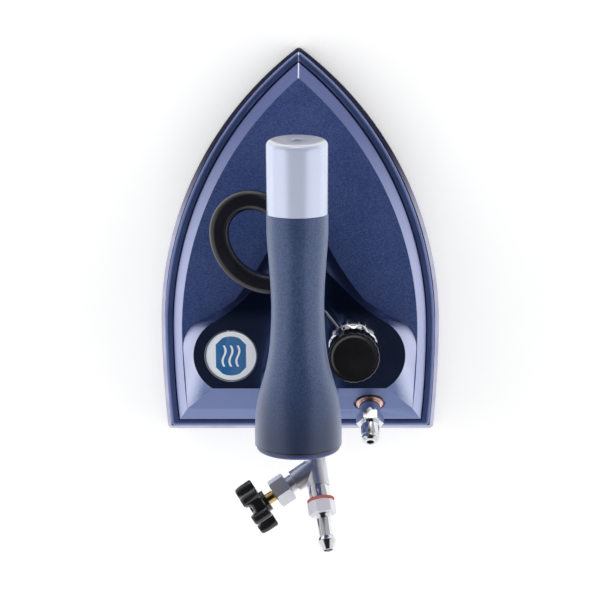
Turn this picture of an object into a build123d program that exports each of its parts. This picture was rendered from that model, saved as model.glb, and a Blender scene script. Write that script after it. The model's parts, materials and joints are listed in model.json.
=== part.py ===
from build123d import *
from math import atan2, cos, hypot, pi, radians, sin, sqrt, tan
import os

# Industrial all-steam iron, in millimetres.
# Origin on the sole face at mid length. +Y points to the tip, +X to the user's right, +Z up.

os.makedirs("parts", exist_ok=True)

# General values
overrun = 2.0
running_clearance = 0.05
assembly_clearance = 0.3
screw_clearance = 0.25

# Sole plate
sole_tip_y = 115.0
sole_rear_y = -114.0
sole_half_width = 83.0
widest_y = -50.0
rear_width_share = 0.966
sole_thickness = 9.0
sole_corner_radius = 2.5
sole_rim_chamfer = 2.3
sole_glide_chamfer = 1.0
steam_hole_radius = 1.5
steam_hole_pitch_x = 8.0
steam_hole_pitch_y = 11.0
steam_hole_tip_gap = 32.0
steam_chevron_gap = 17.0
steam_chevrons = 3
steam_holes_a_side = 5

# Base skirt
skirt_side_inset = 3.3
skirt_tip_inset = 2.0
skirt_rear_inset = 5.2
skirt_height = 11.0
skirt_wall = 3.0
skirt_edge_radius = 2.1
skirt_ledge_depth = 3.0
skirt_ledge_thickness = 3.0
skirt_ledge_width = 5.0
skirt_corner_radius = 2.5

# Top cover
cover_groove = 0.9
band_side_inset = 5.3
band_tip_inset = 6.0
band_rear_inset = 4.5
band_lift = 1.0
band_height = 8.5
band_side_run = 5.6
band_tip_run = 8.3
rear_slope_angle = 43.4
cover_wall = 2.6

# Steam chest and what lies with it
gasket_thickness = 0.6
baffle_thickness = 0.8
chest_height = 9.0
chest_top_wall = 3.0
chest_side_wall = 9.0
chest_clearance = 2.0
insulation_thickness = 5.0
baffle_hole_radius = 2.0
baffle_hole_pitch = 22.0
baffle_holes_across = 4
baffle_holes_along = 5
insulation_inset = 6.0

# Saddle and prow
saddle_height = 15.5
lobe_x = 38.4
lobe_radius = 22.8
lobe_corner_angle = 58.5
lobe_front_angle = 60.0
lobe_side_angle = 4.0
lobe_foot_radius = 18.3
lobe_foot_margin = 0.4
lobe_foot_forward = 1.0
lobe_foot_angle = 80.0
flank_radius = 90.0
flank_angle = 45.0
nose_radius = 10.0
prow_length = 42.5
prow_half_width = 43.8
prow_setback = 57.7
prow_rear_tuck = 15.0
prow_side_radius = 190.0
prow_top_draw = 0.8
prow_step = 1.2
lobe_pocket_radius = 11.0
lobe_pocket_roof = 6.0

# Badge
badge_radius = 14.6
badge_thickness = 0.8
badge_ring_width = 0.7
badge_recess = 1.0
badge_shift_x = 1.1

# Handle: column, grip, cap, rod
grip_axis_rise = 53.0
grip_length = 127.8
grip_overhang = 16.9
grip_front_radius = 16.6
grip_waist_radius = 14.3
grip_rear_radius = 23.9
grip_front_shares = ((0.0, 1.0), (0.09, 0.98), (0.175, 0.66), (0.255, 0.33))
grip_waist_share = 0.41
grip_rear_shares = (
    (0.5, 0.042),
    (0.586, 0.139),
    (0.67, 0.35),
    (0.754, 0.665),
    (0.838, 0.9),
    (0.92, 0.985),
    (1.0, 1.0),
)
cap_length = 39.6
cap_face_lean = 5.4
cap_edge_radius = 2.6
cap_hole_radius = 3.0
cap_hole_depth = 3.0
end_screw_radius = 2.0
end_screw_length = 12.0
end_screw_head_height = 1.8
core_rod_radius = 6.0
rear_cap_radius = 23.0
rear_cap_thickness = 3.0
rear_cap_edge_radius = 1.8
rear_cavity_radius = 17.5
rear_cavity_depth = 28.0
rear_screw_radius = 2.5
rear_screw_head_radius = 4.5
rear_screw_head_height = 2.4
rear_screw_reach = 8.0
core_rod_rear_gap = 9.0
core_rod_front_gap = 8.0
column_half_width = 23.2
column_front_gap = 12.9
column_rear_gap = 11.0
column_corner_radius = 6.0
column_top_half_width = 20.0
column_top_draw = 3.0
column_top_rise = 38.0
column_neck_half_width = 10.5
column_neck_base = 20.0
column_boss_radius = 13.0
column_boss_gap = 4.0
column_neck_rear_gap = 6.5
column_screw_radius = 3.0
column_screw_head_radius = 5.0
column_screw_head_height = 5.0
column_screw_reach = 14.0
column_screw_spacing = 28.0
column_screw_forward = 5.0

# Thumb lever
pivot_forward = 48.9
lever_shaft_radius = 3.0
loop_band = 11.0
loop_thickness = 9.0
loop_edge_radius = 3.6
loop_radius = 18.0
loop_rear_drop = 29.5
loop_x = -26.4
loop_forward = 45.7
loop_corner_radius = 7.5
loop_hub_radius = 7.0
loop_arm_width = 9.0
crank_wire_radius = 0.7
crank_socket_depth = 4.0
crank_bend_gap = 1.4
crank_bend_radius = 1.1
crank_reach = 13.7
crank_angle = 122.3
crank_hook = 3.7
crank_hook_angle = 75.5
bracket_ear_thickness = 4.0
bracket_ear_gap = 5.0
bracket_half_length = 8.0
bracket_foot = 3.0
bracket_ear_radius = 6.5
bush_wall = 1.3
bush_flange = 1.2
bush_flange_thickness = 0.8
shaft_clip_radius = 4.6
shaft_clip_thickness = 1.0
shaft_end_reach = 1.0

# Steam valve
valve_x_shift = -7.4
valve_y_shift = 6.4
valve_body_radius = 11.0
valve_bore_radius = 6.5
valve_floor = 5.0
valve_port_radius = 3.0
valve_fit_clearance = 0.1
valve_seat_gap = 0.05
seat_thickness = 2.0
seal_thickness = 2.0
seal_radius = 5.0
plunger_radius = 5.8
plunger_height = 4.0
stem_radius = 2.5
spring_wire_radius = 0.55
spring_turns = 6
bonnet_radius = 14.0
bonnet_height = 9.5
bonnet_roof = 6.0
bonnet_gasket_thickness = 0.6
bonnet_thread_radius = 9.0
bonnet_thread_length = 5.5
bonnet_notches = 14
bonnet_notch_width = 3.2
bonnet_notch_depth = 4.5
bonnet_notch_reach = 2.6
bonnet_edge_chamfer = 4.0
packing_radius = 4.6
packing_height = 3.0
gland_nut_radius = 6.5
gland_nut_height = 4.7
gland_spigot = 2.2
lift_gap = 0.5
lift_collar_radius = 8.0
lift_collar_thickness = 2.2
lift_tab_width = 3.4
lift_tab_reach = 16.4
knob_radius = 14.5
knob_height = 12.5
knob_lift = 0.8
knob_edge_radius = 1.6
knob_flutes = 24
knob_flute_radius = 0.7
knob_bore_depth = 8.0

# Condensate port, square to the rear slope
port_x = 41.0
port_height_share = 0.27
port_recess_radius = 9.4
port_recess_depth = 1.6
port_thread_radius = 5.0
port_thread_length = 8.0
port_washer_radius = 7.9
port_washer_thickness = 2.4
port_neck_radius = 6.2
port_neck_length = 7.6
port_hex_flats = 14.0
port_hex_length = 6.0
port_pipe_radius = 5.4
port_pipe_length = 12.0
port_groove_depth = 0.6
port_groove_width = 1.2
port_tip_chamfer = 1.6
port_bore_radius = 2.15

# Steam inlet with its branch, union and hose barb
inlet_x = 3.4
inlet_height_share = 0.42
inlet_elevation = 36.6
inlet_yaw = 10.2
inlet_thread_radius = 5.0
inlet_thread_length = 8.0
inlet_radius = 6.4
inlet_bore_radius = 3.6
inlet_length = 54.0
inlet_seam = 0.6
sleeve_length = 6.8
sleeve_neck_radius = 5.8
union_washer_radius = 7.8
union_washer_thickness = 1.5
union_nut_flats = 14.0
union_nut_length = 7.9
union_nut_chamfer = 1.0
union_spigot_radius = 5.0
union_spigot_length = 5.0
barb_tube_radius = 4.1
barb_tube_length = 13.1
barb_neck_radius = 4.6
barb_rise = 2.8
barb_head_radius = 5.5
barb_head_length = 5.1
barb_tip_radius = 3.1
barb_bore_radius = 2.5
branch_start = 42.0
branch_side_share = -0.833
branch_rear_share = -0.52
branch_up_share = 0.19
branch_radius = 6.6
branch_length = 14.6
neck_radius = 5.0
neck_length = 4.0
needle_hex_flats = 15.5
needle_hex_length = 9.7
needle_bore_depth = 12.5
needle_stem_radius = 3.3
needle_stem_shown = 5.0
needle_port_radius = 1.2
needle_spigot_radius = 2.5
needle_spigot_length = 4.4
needle_tip_length = 3.0
needle_tip_radius = 0.8
hand_hub_radius = 6.4
hand_hub_length = 2.2
hand_body_radius = 9.6
hand_body_length = 7.6
hand_lobe_radius = 3.3
hand_lobe_circle = 12.1
hand_lobe_length = 11.0
hand_lobes = 6
hand_first_lobe = 30.0
hand_screw_radius = 1.5
hand_screw_head_radius = 2.8
hand_screw_head_height = 1.4
hand_screw_reach = 5.0
tunnel_clearance = 1.4

# Screws, and the hollow legs that carry steam between the saddle and the chest
chest_screw_radius = 2.5
chest_screw_head_radius = 4.2
chest_screw_head_height = 3.2
chest_screw_reach = 5.5
chest_screw_tip_gap = 7.0
chest_screw_place_share = (0.34, -0.16, -0.64)
saddle_screw_radius = 2.0
saddle_screw_head_radius = 3.6
saddle_screw_head_height = 2.2
saddle_screw_reach = 8.0
saddle_screw_front_x = 12.0
saddle_screw_front_gap = 16.0
saddle_screw_rear_x = 30.0
saddle_screw_rear_gap = 8.0
leg_radius = 10.0
leg_bore_radius = 3.5
leg_forward = 7.2
leg_bore_rise = 3.0

# Heights that follow
sole_top = sole_thickness
skirt_top = sole_top + skirt_height
ledge_z = skirt_top - skirt_ledge_depth
band_foot_z = skirt_top + band_lift
plate_z = band_foot_z + band_height
cover_underside = plate_z - cover_wall
saddle_top = plate_z + saddle_height
baffle_z = sole_top + gasket_thickness
chest_z = baffle_z + baffle_thickness
chest_top = chest_z + chest_height
grip_z = saddle_top + grip_axis_rise
bonnet_z = saddle_top + bonnet_gasket_thickness
bonnet_top = bonnet_z + bonnet_height
gland_top = bonnet_top + gland_nut_height
lift_z = gland_top + lift_gap
lift_top = lift_z + lift_collar_thickness
lever_z = lift_z - assembly_clearance - crank_wire_radius
knob_z = lift_top + knob_lift
knob_top = knob_z + knob_height
seat_z = chest_top + valve_floor
seal_z = seat_z + seat_thickness + valve_seat_gap
plunger_z = seal_z + seal_thickness
stem_z = plunger_z + plunger_height
spring_roof = bonnet_top - bonnet_roof
stem_top = knob_z + knob_bore_depth - assembly_clearance

# Outlines that follow
skirt_half_width = sole_half_width - skirt_side_inset
skirt_tip_y = sole_tip_y - skirt_tip_inset
skirt_rear_y = sole_rear_y + skirt_rear_inset
band_half_width = skirt_half_width - band_side_inset
band_tip_y = skirt_tip_y - band_tip_inset
band_rear_y = skirt_rear_y + band_rear_inset
slope_run = 1 / tan(radians(rear_slope_angle))
plate_half_width = band_half_width - band_side_run
plate_tip_y = band_tip_y - band_tip_run
plate_rear_y = band_rear_y + band_height * slope_run
plate_rear_half_width = plate_half_width * rear_width_share
saddle_rear_y = plate_rear_y + saddle_height * slope_run
lobe_y = saddle_rear_y + lobe_radius * sin(radians(lobe_corner_angle))
saddle_corner_x = lobe_x + lobe_radius * cos(radians(lobe_corner_angle))
lobe_foot_x = plate_half_width - lobe_foot_margin - lobe_foot_radius
lobe_foot_y = lobe_y + lobe_foot_forward

# Bow angle: half the angle between the two bow arcs at the skirt's tip
bow_angle = 2 * atan2(skirt_half_width, skirt_tip_y - widest_y)
cover_rear_wall = cover_wall / sin(radians(rear_slope_angle))

# Steam chest outline
chest_inset = skirt_wall + skirt_ledge_width + chest_clearance
chest_half_width = skirt_half_width - chest_inset
chest_tip_y = skirt_tip_y - chest_inset / sin(bow_angle)
chest_rear_y = skirt_rear_y + chest_inset

# Flank of the saddle: a hollow curve from each lobe, then a straight run to the rounded nose
flank_centre_x = lobe_x + (lobe_radius + flank_radius) * cos(radians(lobe_front_angle))
flank_centre_y = lobe_y + (lobe_radius + flank_radius) * sin(radians(lobe_front_angle))
flank_end_x = flank_centre_x - flank_radius * cos(radians(flank_angle))
flank_end_y = flank_centre_y - flank_radius * sin(radians(flank_angle))
flank_reach = flank_end_x * cos(radians(flank_angle)) + flank_end_y * sin(radians(flank_angle))
nose_apex_y = flank_reach / sin(radians(flank_angle))
nose_centre_y = (flank_reach - nose_radius) / sin(radians(flank_angle))
nose_side_x = nose_radius * cos(radians(flank_angle))
nose_side_y = nose_centre_y + nose_radius * sin(radians(flank_angle))
nose_y = nose_centre_y + nose_radius

# Places of the sub-assemblies
valve_x = lobe_x + valve_x_shift
valve_y = lobe_y + valve_y_shift
badge_x = -lobe_x - badge_shift_x
pivot_y = saddle_rear_y + pivot_forward
grip_rear_y = saddle_rear_y - grip_overhang
grip_front_y = grip_rear_y + grip_length
column_front_y = saddle_rear_y + column_front_gap
column_rear_y = saddle_rear_y - column_rear_gap
neck_rear_y = grip_rear_y + column_neck_rear_gap
neck_front_y = grip_rear_y + rear_cavity_depth - column_boss_gap
column_screw_y = saddle_rear_y + column_screw_forward
column_screw_places = [(side * column_screw_spacing / 2, column_screw_y) for side in (-1, 1)]
saddle_screw_places = []
for side in (-1, 1):
    saddle_screw_places.append((side * saddle_screw_front_x, nose_y - saddle_screw_front_gap))
    saddle_screw_places.append((side * saddle_screw_rear_x, saddle_rear_y + saddle_screw_rear_gap))

# Places along the lever's pivot axis, and the loop's centreline
loop_y = pivot_y + loop_forward
loop_bar_x = loop_x + loop_radius
loop_left_x = loop_x - loop_radius
loop_rear_y = loop_y - loop_rear_drop
first_ear_x = loop_bar_x + loop_band / 2 + bush_flange_thickness + assembly_clearance
second_ear_x = first_ear_x + bracket_ear_thickness + bracket_ear_gap
ear_places = [first_ear_x, second_ear_x]
bracket_end_x = second_ear_x + bracket_ear_thickness
shaft_end_x = bracket_end_x + assembly_clearance + shaft_clip_thickness + shaft_end_reach

# Grip profile, counted from the rear face along the grip and outwards from its axis
grip_profile = []
for station, swell in grip_front_shares:
    swell_radius = grip_waist_radius + (grip_front_radius - grip_waist_radius) * swell
    grip_profile.append((grip_length * (1 - station), swell_radius))
grip_profile.append((grip_length * (1 - grip_waist_share), grip_waist_radius))
for station, swell in grip_rear_shares:
    swell_radius = grip_waist_radius + (grip_rear_radius - grip_waist_radius) * swell
    grip_profile.append((grip_length * (1 - station), swell_radius))


def along(origin, direction, distance):
    """Point at a distance from the origin along a unit direction."""
    return tuple(o + d * distance for o, d in zip(origin, direction))


def slope_point(x, height_share):
    """Point on the rear slope, at a share of the saddle's height over the plate."""
    rise = saddle_height * height_share
    return (x, plate_rear_y + rise * slope_run, plate_z + rise)


# Axes of the slanted fittings
port_axis = (0, -sin(radians(rear_slope_angle)), cos(radians(rear_slope_angle)))
port_root = slope_point(port_x, port_height_share)
inlet_axis = (
    sin(radians(inlet_yaw)) * cos(radians(inlet_elevation)),
    -cos(radians(inlet_yaw)) * cos(radians(inlet_elevation)),
    sin(radians(inlet_elevation)),
)
inlet_root = slope_point(inlet_x, inlet_height_share)
branch_norm = hypot(branch_side_share, branch_rear_share, branch_up_share)
branch_axis = (
    branch_side_share / branch_norm,
    branch_rear_share / branch_norm,
    branch_up_share / branch_norm,
)
branch_root = along(inlet_root, inlet_axis, branch_start)

leg_places = [
    (port_root[0], port_root[1] + leg_forward),
    (inlet_root[0], inlet_root[1] + leg_forward),
]

# Each fitting has a plane square to its axis; its offset is the distance along the axis
port_plane = Plane(origin=port_root, x_dir=(1, 0, 0), z_dir=port_axis)
inlet_plane = Plane(origin=inlet_root, x_dir=(1, 0, inlet_axis[0] / -inlet_axis[2]), z_dir=inlet_axis)
branch_plane = Plane(origin=branch_root, x_dir=(0, branch_axis[2], -branch_axis[1]), z_dir=branch_axis)
grip_plane = Plane(origin=(0, grip_rear_y, grip_z), x_dir=(1, 0, 0), z_dir=(0, 1, 0))
pivot_plane = Plane(origin=(0, pivot_y, lever_z), x_dir=(0, 1, 0), z_dir=(1, 0, 0))


def profile_plane(plane):
    """Plane through a fitting's axis: its X runs along the axis and its Y outwards."""
    return Plane(origin=plane.origin, x_dir=plane.z_dir, z_dir=plane.x_dir)


def axis_of(plane):
    """Axis of a fitting."""
    return Axis(plane.origin, plane.z_dir)


def boat_outline(height, half_width, tip_y, rear_y):
    """Boat shape: two bow arcs to the tip, slightly drawn-in sides and a straight rear."""
    rear_half_width = half_width * rear_width_share
    with BuildSketch(Plane.XY.offset(height)) as outline:
        with BuildLine():
            TangentArc((half_width, widest_y), (0, tip_y), tangent=(0, 1))
            TangentArc((half_width, widest_y), (rear_half_width, rear_y), tangent=(0, -1))
            mirror(about=Plane.YZ)
            Line((-rear_half_width, rear_y), (rear_half_width, rear_y))
        make_face()
    return outline.sketch


def inset_outline(height, inset):
    """The skirt's outline drawn in by the same inset on each side, and more at the sharp tip."""
    return boat_outline(
        height,
        skirt_half_width - inset,
        skirt_tip_y - inset / sin(bow_angle),
        skirt_rear_y + inset,
    )


def chest_outline(height, inset):
    """Outline of the steam chest, drawn in by the given inset."""
    return inset_outline(height, chest_inset + inset)


def side_of(half_width, tip_y, rear_y, y):
    """Half width of a boat outline at a place along it."""
    if y > widest_y:
        run = tip_y - widest_y
        radius = (run**2 + half_width**2) / (2 * half_width)
        return half_width - radius + sqrt(radius**2 - (y - widest_y) ** 2)
    rear_share = ((widest_y - y) / (widest_y - rear_y)) ** 2
    return half_width * (1 - (1 - rear_width_share) * rear_share)


def prow_outline_foot(height):
    """Pointed arch where the prow meets the plate."""
    rear = nose_apex_y - prow_setback + prow_rear_tuck
    with BuildSketch(Plane.XY.offset(height)) as outline:
        with BuildLine():
            RadiusArc((prow_half_width, rear), (0, nose_apex_y + prow_length), prow_side_radius)
            mirror(about=Plane.YZ)
            Line((-prow_half_width, rear), (prow_half_width, rear))
        make_face()
    return outline.sketch


def prow_outline_top(height):
    """Top of the prow: straight flanks that follow the saddle's own."""
    half_width = prow_half_width - prow_top_draw
    rear = nose_apex_y - half_width / tan(radians(flank_angle))
    with BuildSketch(Plane.XY.offset(height)) as outline:
        with BuildLine():
            Line((half_width, rear), (0, nose_apex_y))
            mirror(about=Plane.YZ)
            Line((-half_width, rear), (half_width, rear))
        make_face()
    return outline.sketch


def column_outline(height, half_width, front_y, rear_y):
    """Rounded rectangle of the handle column."""
    with BuildSketch(Plane.XY.offset(height)) as outline:
        with Locations((0, (front_y + rear_y) / 2)):
            RectangleRounded(2 * half_width, front_y - rear_y, column_corner_radius)
    return outline.sketch


def circle_point(x, y, radius, angle):
    """Point on a circle, its angle counted from +X in degrees."""
    return (x + radius * cos(radians(angle)), y + radius * sin(radians(angle)))


def saddle_outline_top(height):
    """Two round lobes joined by hollow flanks that meet in a rounded nose."""
    corner = (saddle_corner_x, saddle_rear_y)
    side = circle_point(lobe_x, lobe_y, lobe_radius, -lobe_side_angle)
    front = circle_point(lobe_x, lobe_y, lobe_radius, lobe_front_angle)
    rear_middle = circle_point(lobe_x, lobe_y, lobe_radius, -(lobe_side_angle + lobe_corner_angle) / 2)
    front_middle = circle_point(lobe_x, lobe_y, lobe_radius, (lobe_front_angle - lobe_side_angle) / 2)
    hollow_turn = (lobe_front_angle + flank_angle) / 2 + 180
    hollow = circle_point(flank_centre_x, flank_centre_y, flank_radius, hollow_turn)
    with BuildSketch(Plane.XY.offset(height)) as outline:
        with BuildLine():
            ThreePointArc(corner, rear_middle, side)
            ThreePointArc(side, front_middle, front)
            ThreePointArc(front, hollow, (flank_end_x, flank_end_y))
            Line((flank_end_x, flank_end_y), (nose_side_x, nose_side_y))
            mirror(about=Plane.YZ)
            ThreePointArc((nose_side_x, nose_side_y), (0, nose_y), (-nose_side_x, nose_side_y))
            Line((-saddle_corner_x, saddle_rear_y), corner)
        make_face()
    return outline.sketch


def saddle_outline_foot(height):
    """The saddle's foot on the plate: it reaches the plate's rear corners and its sides."""
    corner = (plate_rear_half_width, plate_rear_y)
    side = circle_point(lobe_foot_x, lobe_foot_y, lobe_foot_radius, -lobe_side_angle)
    front = circle_point(lobe_foot_x, lobe_foot_y, lobe_foot_radius, lobe_foot_angle)
    front_middle = circle_point(
        lobe_foot_x, lobe_foot_y, lobe_foot_radius, (lobe_foot_angle - lobe_side_angle) / 2
    )
    with BuildSketch(Plane.XY.offset(height)) as outline:
        with BuildLine():
            Line(corner, side)
            ThreePointArc(side, front_middle, front)
            Line(front, (flank_end_x, flank_end_y))
            Line((flank_end_x, flank_end_y), (nose_side_x, nose_side_y))
            mirror(about=Plane.YZ)
            ThreePointArc((nose_side_x, nose_side_y), (0, nose_y), (-nose_side_x, nose_side_y))
            Line((-plate_rear_half_width, plate_rear_y), corner)
        make_face()
    return outline.sketch


def hexagon_radius(flats):
    """Corner radius of a hexagon of the given width across flats."""
    return flats / 2 / cos(pi / 6)


# Sole plate: thick, with a polished chamfered rim and steam holes in chevrons behind the tip
steam_hole_places = []
for chevron in range(steam_chevrons):
    for step in range(steam_holes_a_side):
        for side in (-1, 1):
            hole_x = side * (step + 1 / 2) * steam_hole_pitch_x
            behind_tip = steam_hole_tip_gap + chevron * steam_chevron_gap + step * steam_hole_pitch_y
            hole_y = sole_tip_y - behind_tip
            steam_hole_places.append((hole_x, hole_y))

chest_screw_places = [(0, chest_tip_y - chest_screw_tip_gap)]
for forward_share in chest_screw_place_share:
    screw_y = forward_share * (sole_tip_y - sole_rear_y) / 2
    screw_x = side_of(chest_half_width, chest_tip_y, chest_rear_y, screw_y) - chest_side_wall / 2
    chest_screw_places.append((screw_x, screw_y))
    chest_screw_places.append((-screw_x, screw_y))

with BuildPart() as sole_plate:
    with BuildSketch():
        add(boat_outline(0, sole_half_width, sole_tip_y, sole_rear_y))
        corners = vertices().sort_by(Axis.Y)
        fillet([corners[0], corners[1], corners[-1]], radius=sole_corner_radius)
    extrude(amount=sole_thickness)
    chamfer(faces().sort_by(Axis.Z)[-1].edges(), length=sole_rim_chamfer)
    chamfer(faces().sort_by(Axis.Z)[0].edges(), length=sole_glide_chamfer)
    with Locations(Plane.XY.offset(sole_top)):
        with Locations(*steam_hole_places):
            Hole(radius=steam_hole_radius, depth=sole_thickness)
        with Locations(*chest_screw_places):
            Hole(radius=chest_screw_radius, depth=chest_screw_reach)
sole_plate.part.label = "sole_plate"
export_step(sole_plate.part, "parts/sole_plate.step")

# Gasket: a frame as wide as the chest's side wall, so the steam space stays open
with BuildPart() as chest_gasket:
    extrude(chest_outline(sole_top, 0), amount=gasket_thickness)
    extrude(chest_outline(sole_top, chest_side_wall), amount=gasket_thickness, mode=Mode.SUBTRACT)
    with Locations(Plane.XY.offset(baffle_z)):
        with Locations(*chest_screw_places):
            Hole(radius=chest_screw_radius + screw_clearance, depth=gasket_thickness)
chest_gasket.part.label = "chest_gasket"
export_step(chest_gasket.part, "parts/chest_gasket.step")

# Baffle: a thin sheet under the chest that spreads the steam over the sole
with BuildPart() as baffle_plate:
    extrude(chest_outline(baffle_z, 0), amount=baffle_thickness)
    with Locations(Plane.XY.offset(chest_z)):
        with Locations(*chest_screw_places):
            Hole(radius=chest_screw_radius + screw_clearance, depth=baffle_thickness)
        with GridLocations(baffle_hole_pitch, baffle_hole_pitch, baffle_holes_across, baffle_holes_along):
            Hole(radius=baffle_hole_radius, depth=baffle_thickness)
baffle_plate.part.label = "baffle_plate"
export_step(baffle_plate.part, "parts/baffle_plate.step")

# Steam chest: a casting open at the bottom, with ports for the valve and the two legs
with BuildPart() as steam_chest:
    extrude(chest_outline(chest_z, 0), amount=chest_height)
    extrude(
        chest_outline(chest_z, chest_side_wall),
        amount=chest_height - chest_top_wall,
        mode=Mode.SUBTRACT,
    )
    with Locations(Plane.XY.offset(chest_top)):
        with Locations(*chest_screw_places):
            Hole(radius=chest_screw_radius + screw_clearance, depth=chest_height)
        with Locations((valve_x, valve_y)):
            Hole(radius=valve_port_radius, depth=chest_top_wall)
        with Locations(*leg_places):
            Hole(radius=leg_bore_radius, depth=chest_top_wall)
steam_chest.part.label = "steam_chest"
export_step(steam_chest.part, "parts/steam_chest.step")

# Screws that clamp chest, baffle and gasket to the sole
with BuildPart() as chest_screws:
    with Locations(Plane.XY.offset(chest_top)):
        with Locations(*chest_screw_places):
            Cylinder(
                radius=chest_screw_head_radius,
                height=chest_screw_head_height,
                align=(Align.CENTER, Align.CENTER, Align.MIN),
            )
            Cylinder(
                radius=chest_screw_radius,
                height=chest_top - sole_top + chest_screw_reach,
                align=(Align.CENTER, Align.CENTER, Align.MAX),
            )
chest_screws.part.label = "chest_screws"
export_step(chest_screws.part, "parts/chest_screws.step")

# Insulation pad between the hot chest and the painted cover
with BuildPart() as insulation_pad:
    extrude(chest_outline(chest_top, insulation_inset), amount=insulation_thickness)
    with Locations(Plane.XY.offset(chest_top + insulation_thickness)):
        with Locations(*chest_screw_places):
            Hole(radius=chest_screw_head_radius + assembly_clearance, depth=insulation_thickness)
        with Locations((valve_x, valve_y)):
            Hole(radius=valve_body_radius + assembly_clearance, depth=insulation_thickness)
        with Locations(*leg_places):
            Hole(radius=leg_radius + assembly_clearance, depth=insulation_thickness)
insulation_pad.part.label = "insulation_pad"
export_step(insulation_pad.part, "parts/insulation_pad.step")

# Base skirt: the painted wall round the chest, with a ledge that carries the cover
with BuildPart() as base_skirt:
    with BuildSketch(Plane.XY.offset(sole_top)):
        add(boat_outline(0, skirt_half_width, skirt_tip_y, skirt_rear_y))
        corners = vertices().sort_by(Axis.Y)
        fillet([corners[0], corners[1], corners[-1]], radius=skirt_corner_radius)
    extrude(amount=skirt_height)
    fillet(faces().sort_by(Axis.Z)[-1].edges(), radius=skirt_edge_radius)
    extrude(
        inset_outline(sole_top, skirt_wall),
        amount=skirt_height - skirt_ledge_depth - skirt_ledge_thickness,
        mode=Mode.SUBTRACT,
    )
    extrude(inset_outline(sole_top, skirt_wall + skirt_ledge_width), amount=skirt_height, mode=Mode.SUBTRACT)
    extrude(
        boat_outline(
            ledge_z,
            band_half_width + cover_groove,
            band_tip_y + cover_groove / sin(bow_angle),
            band_rear_y - cover_groove,
        ),
        amount=skirt_ledge_depth,
        mode=Mode.SUBTRACT,
    )
base_skirt.part.label = "base_skirt"
export_step(base_skirt.part, "parts/base_skirt.step")

# Top cover: a flat plate with a sloped band round it, hollow underneath
with BuildPart() as top_cover:
    extrude(
        boat_outline(ledge_z, band_half_width, band_tip_y, band_rear_y),
        amount=band_foot_z - ledge_z,
    )
    loft(
        [
            boat_outline(band_foot_z, band_half_width, band_tip_y, band_rear_y),
            boat_outline(plate_z, plate_half_width, plate_tip_y, plate_rear_y),
        ],
        ruled=True,
    )
    extrude(
        boat_outline(
            ledge_z,
            band_half_width - cover_wall,
            band_tip_y - cover_wall / sin(bow_angle),
            band_rear_y + cover_rear_wall,
        ),
        amount=band_foot_z - ledge_z,
        mode=Mode.SUBTRACT,
    )
    loft(
        [
            boat_outline(
                band_foot_z,
                band_half_width - cover_wall,
                band_tip_y - cover_wall / sin(bow_angle),
                band_rear_y + cover_rear_wall,
            ),
            boat_outline(
                cover_underside,
                plate_half_width - cover_wall,
                plate_tip_y - cover_wall / sin(bow_angle),
                plate_rear_y + cover_rear_wall,
            ),
        ],
        ruled=True,
        mode=Mode.SUBTRACT,
    )
    with Locations(Plane.XY.offset(plate_z)):
        with Locations((valve_x, valve_y)):
            Hole(radius=valve_body_radius + assembly_clearance, depth=cover_wall)
        with Locations(*leg_places):
            Hole(radius=leg_radius + assembly_clearance, depth=band_height)
        with Locations(*saddle_screw_places):
            Hole(radius=saddle_screw_radius + screw_clearance, depth=cover_wall)
    with BuildSketch(port_plane.offset(-port_recess_depth)):
        Circle(port_recess_radius)
    extrude(amount=port_recess_depth + overrun, mode=Mode.SUBTRACT)
top_cover.part.label = "top_cover"
export_step(top_cover.part, "parts/top_cover.step")

# Saddle casting: two lobes on drafted walls, the pointed prow, and hollow legs down to the chest
with BuildPart() as saddle:
    loft([saddle_outline_foot(plate_z), saddle_outline_top(saddle_top)], ruled=True)
    loft([prow_outline_foot(plate_z), prow_outline_top(saddle_top - prow_step)], ruled=True)
    saddle_block = saddle.part
    with Locations(Plane.XY.offset(chest_top)):
        with Locations(*leg_places):
            Cylinder(
                radius=leg_radius,
                height=plate_z - chest_top,
                align=(Align.CENTER, Align.CENTER, Align.MIN),
            )
            Cylinder(
                radius=leg_bore_radius,
                height=plate_z - chest_top + leg_bore_rise,
                align=(Align.CENTER, Align.CENTER, Align.MIN),
                mode=Mode.SUBTRACT,
            )
    with Locations(Plane.XY.offset(saddle_top)):
        with Locations((valve_x, valve_y)):
            Hole(radius=valve_body_radius + valve_fit_clearance, depth=saddle_height)
        with Locations((badge_x, lobe_y)):
            Hole(radius=badge_radius + badge_ring_width, depth=badge_recess)
    with BuildSketch(Plane.XY.offset(plate_z)):
        with Locations((badge_x, lobe_y)):
            Circle(lobe_pocket_radius)
    extrude(amount=saddle_height - lobe_pocket_roof, mode=Mode.SUBTRACT)
    with BuildSketch(Plane.XY.offset(plate_z)):
        with Locations(*saddle_screw_places):
            Circle(saddle_screw_radius)
    extrude(amount=saddle_screw_reach, mode=Mode.SUBTRACT)
    with BuildSketch(Plane.XY.offset(plate_z)):
        with Locations(*column_screw_places):
            Circle(column_screw_radius + screw_clearance)
    extrude(amount=saddle_height, mode=Mode.SUBTRACT)
    with BuildSketch(Plane.XY.offset(plate_z)):
        with Locations(*column_screw_places):
            Circle(column_screw_head_radius + screw_clearance)
    extrude(amount=column_screw_head_height, mode=Mode.SUBTRACT)
    with BuildSketch(port_plane.offset(-port_recess_depth)):
        Circle(port_recess_radius)
    extrude(amount=port_recess_depth + port_recess_radius, mode=Mode.SUBTRACT)
    with BuildSketch(port_plane.offset(-port_recess_depth - port_thread_length)):
        Circle(port_thread_radius)
    extrude(amount=port_thread_length + overrun, mode=Mode.SUBTRACT)
    with BuildSketch(inlet_plane.offset(-inlet_thread_length)):
        Circle(inlet_thread_radius)
    extrude(amount=inlet_thread_length + inlet_radius, mode=Mode.SUBTRACT)
saddle.part.label = "saddle"
export_step(saddle.part, "parts/saddle.step")

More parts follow.
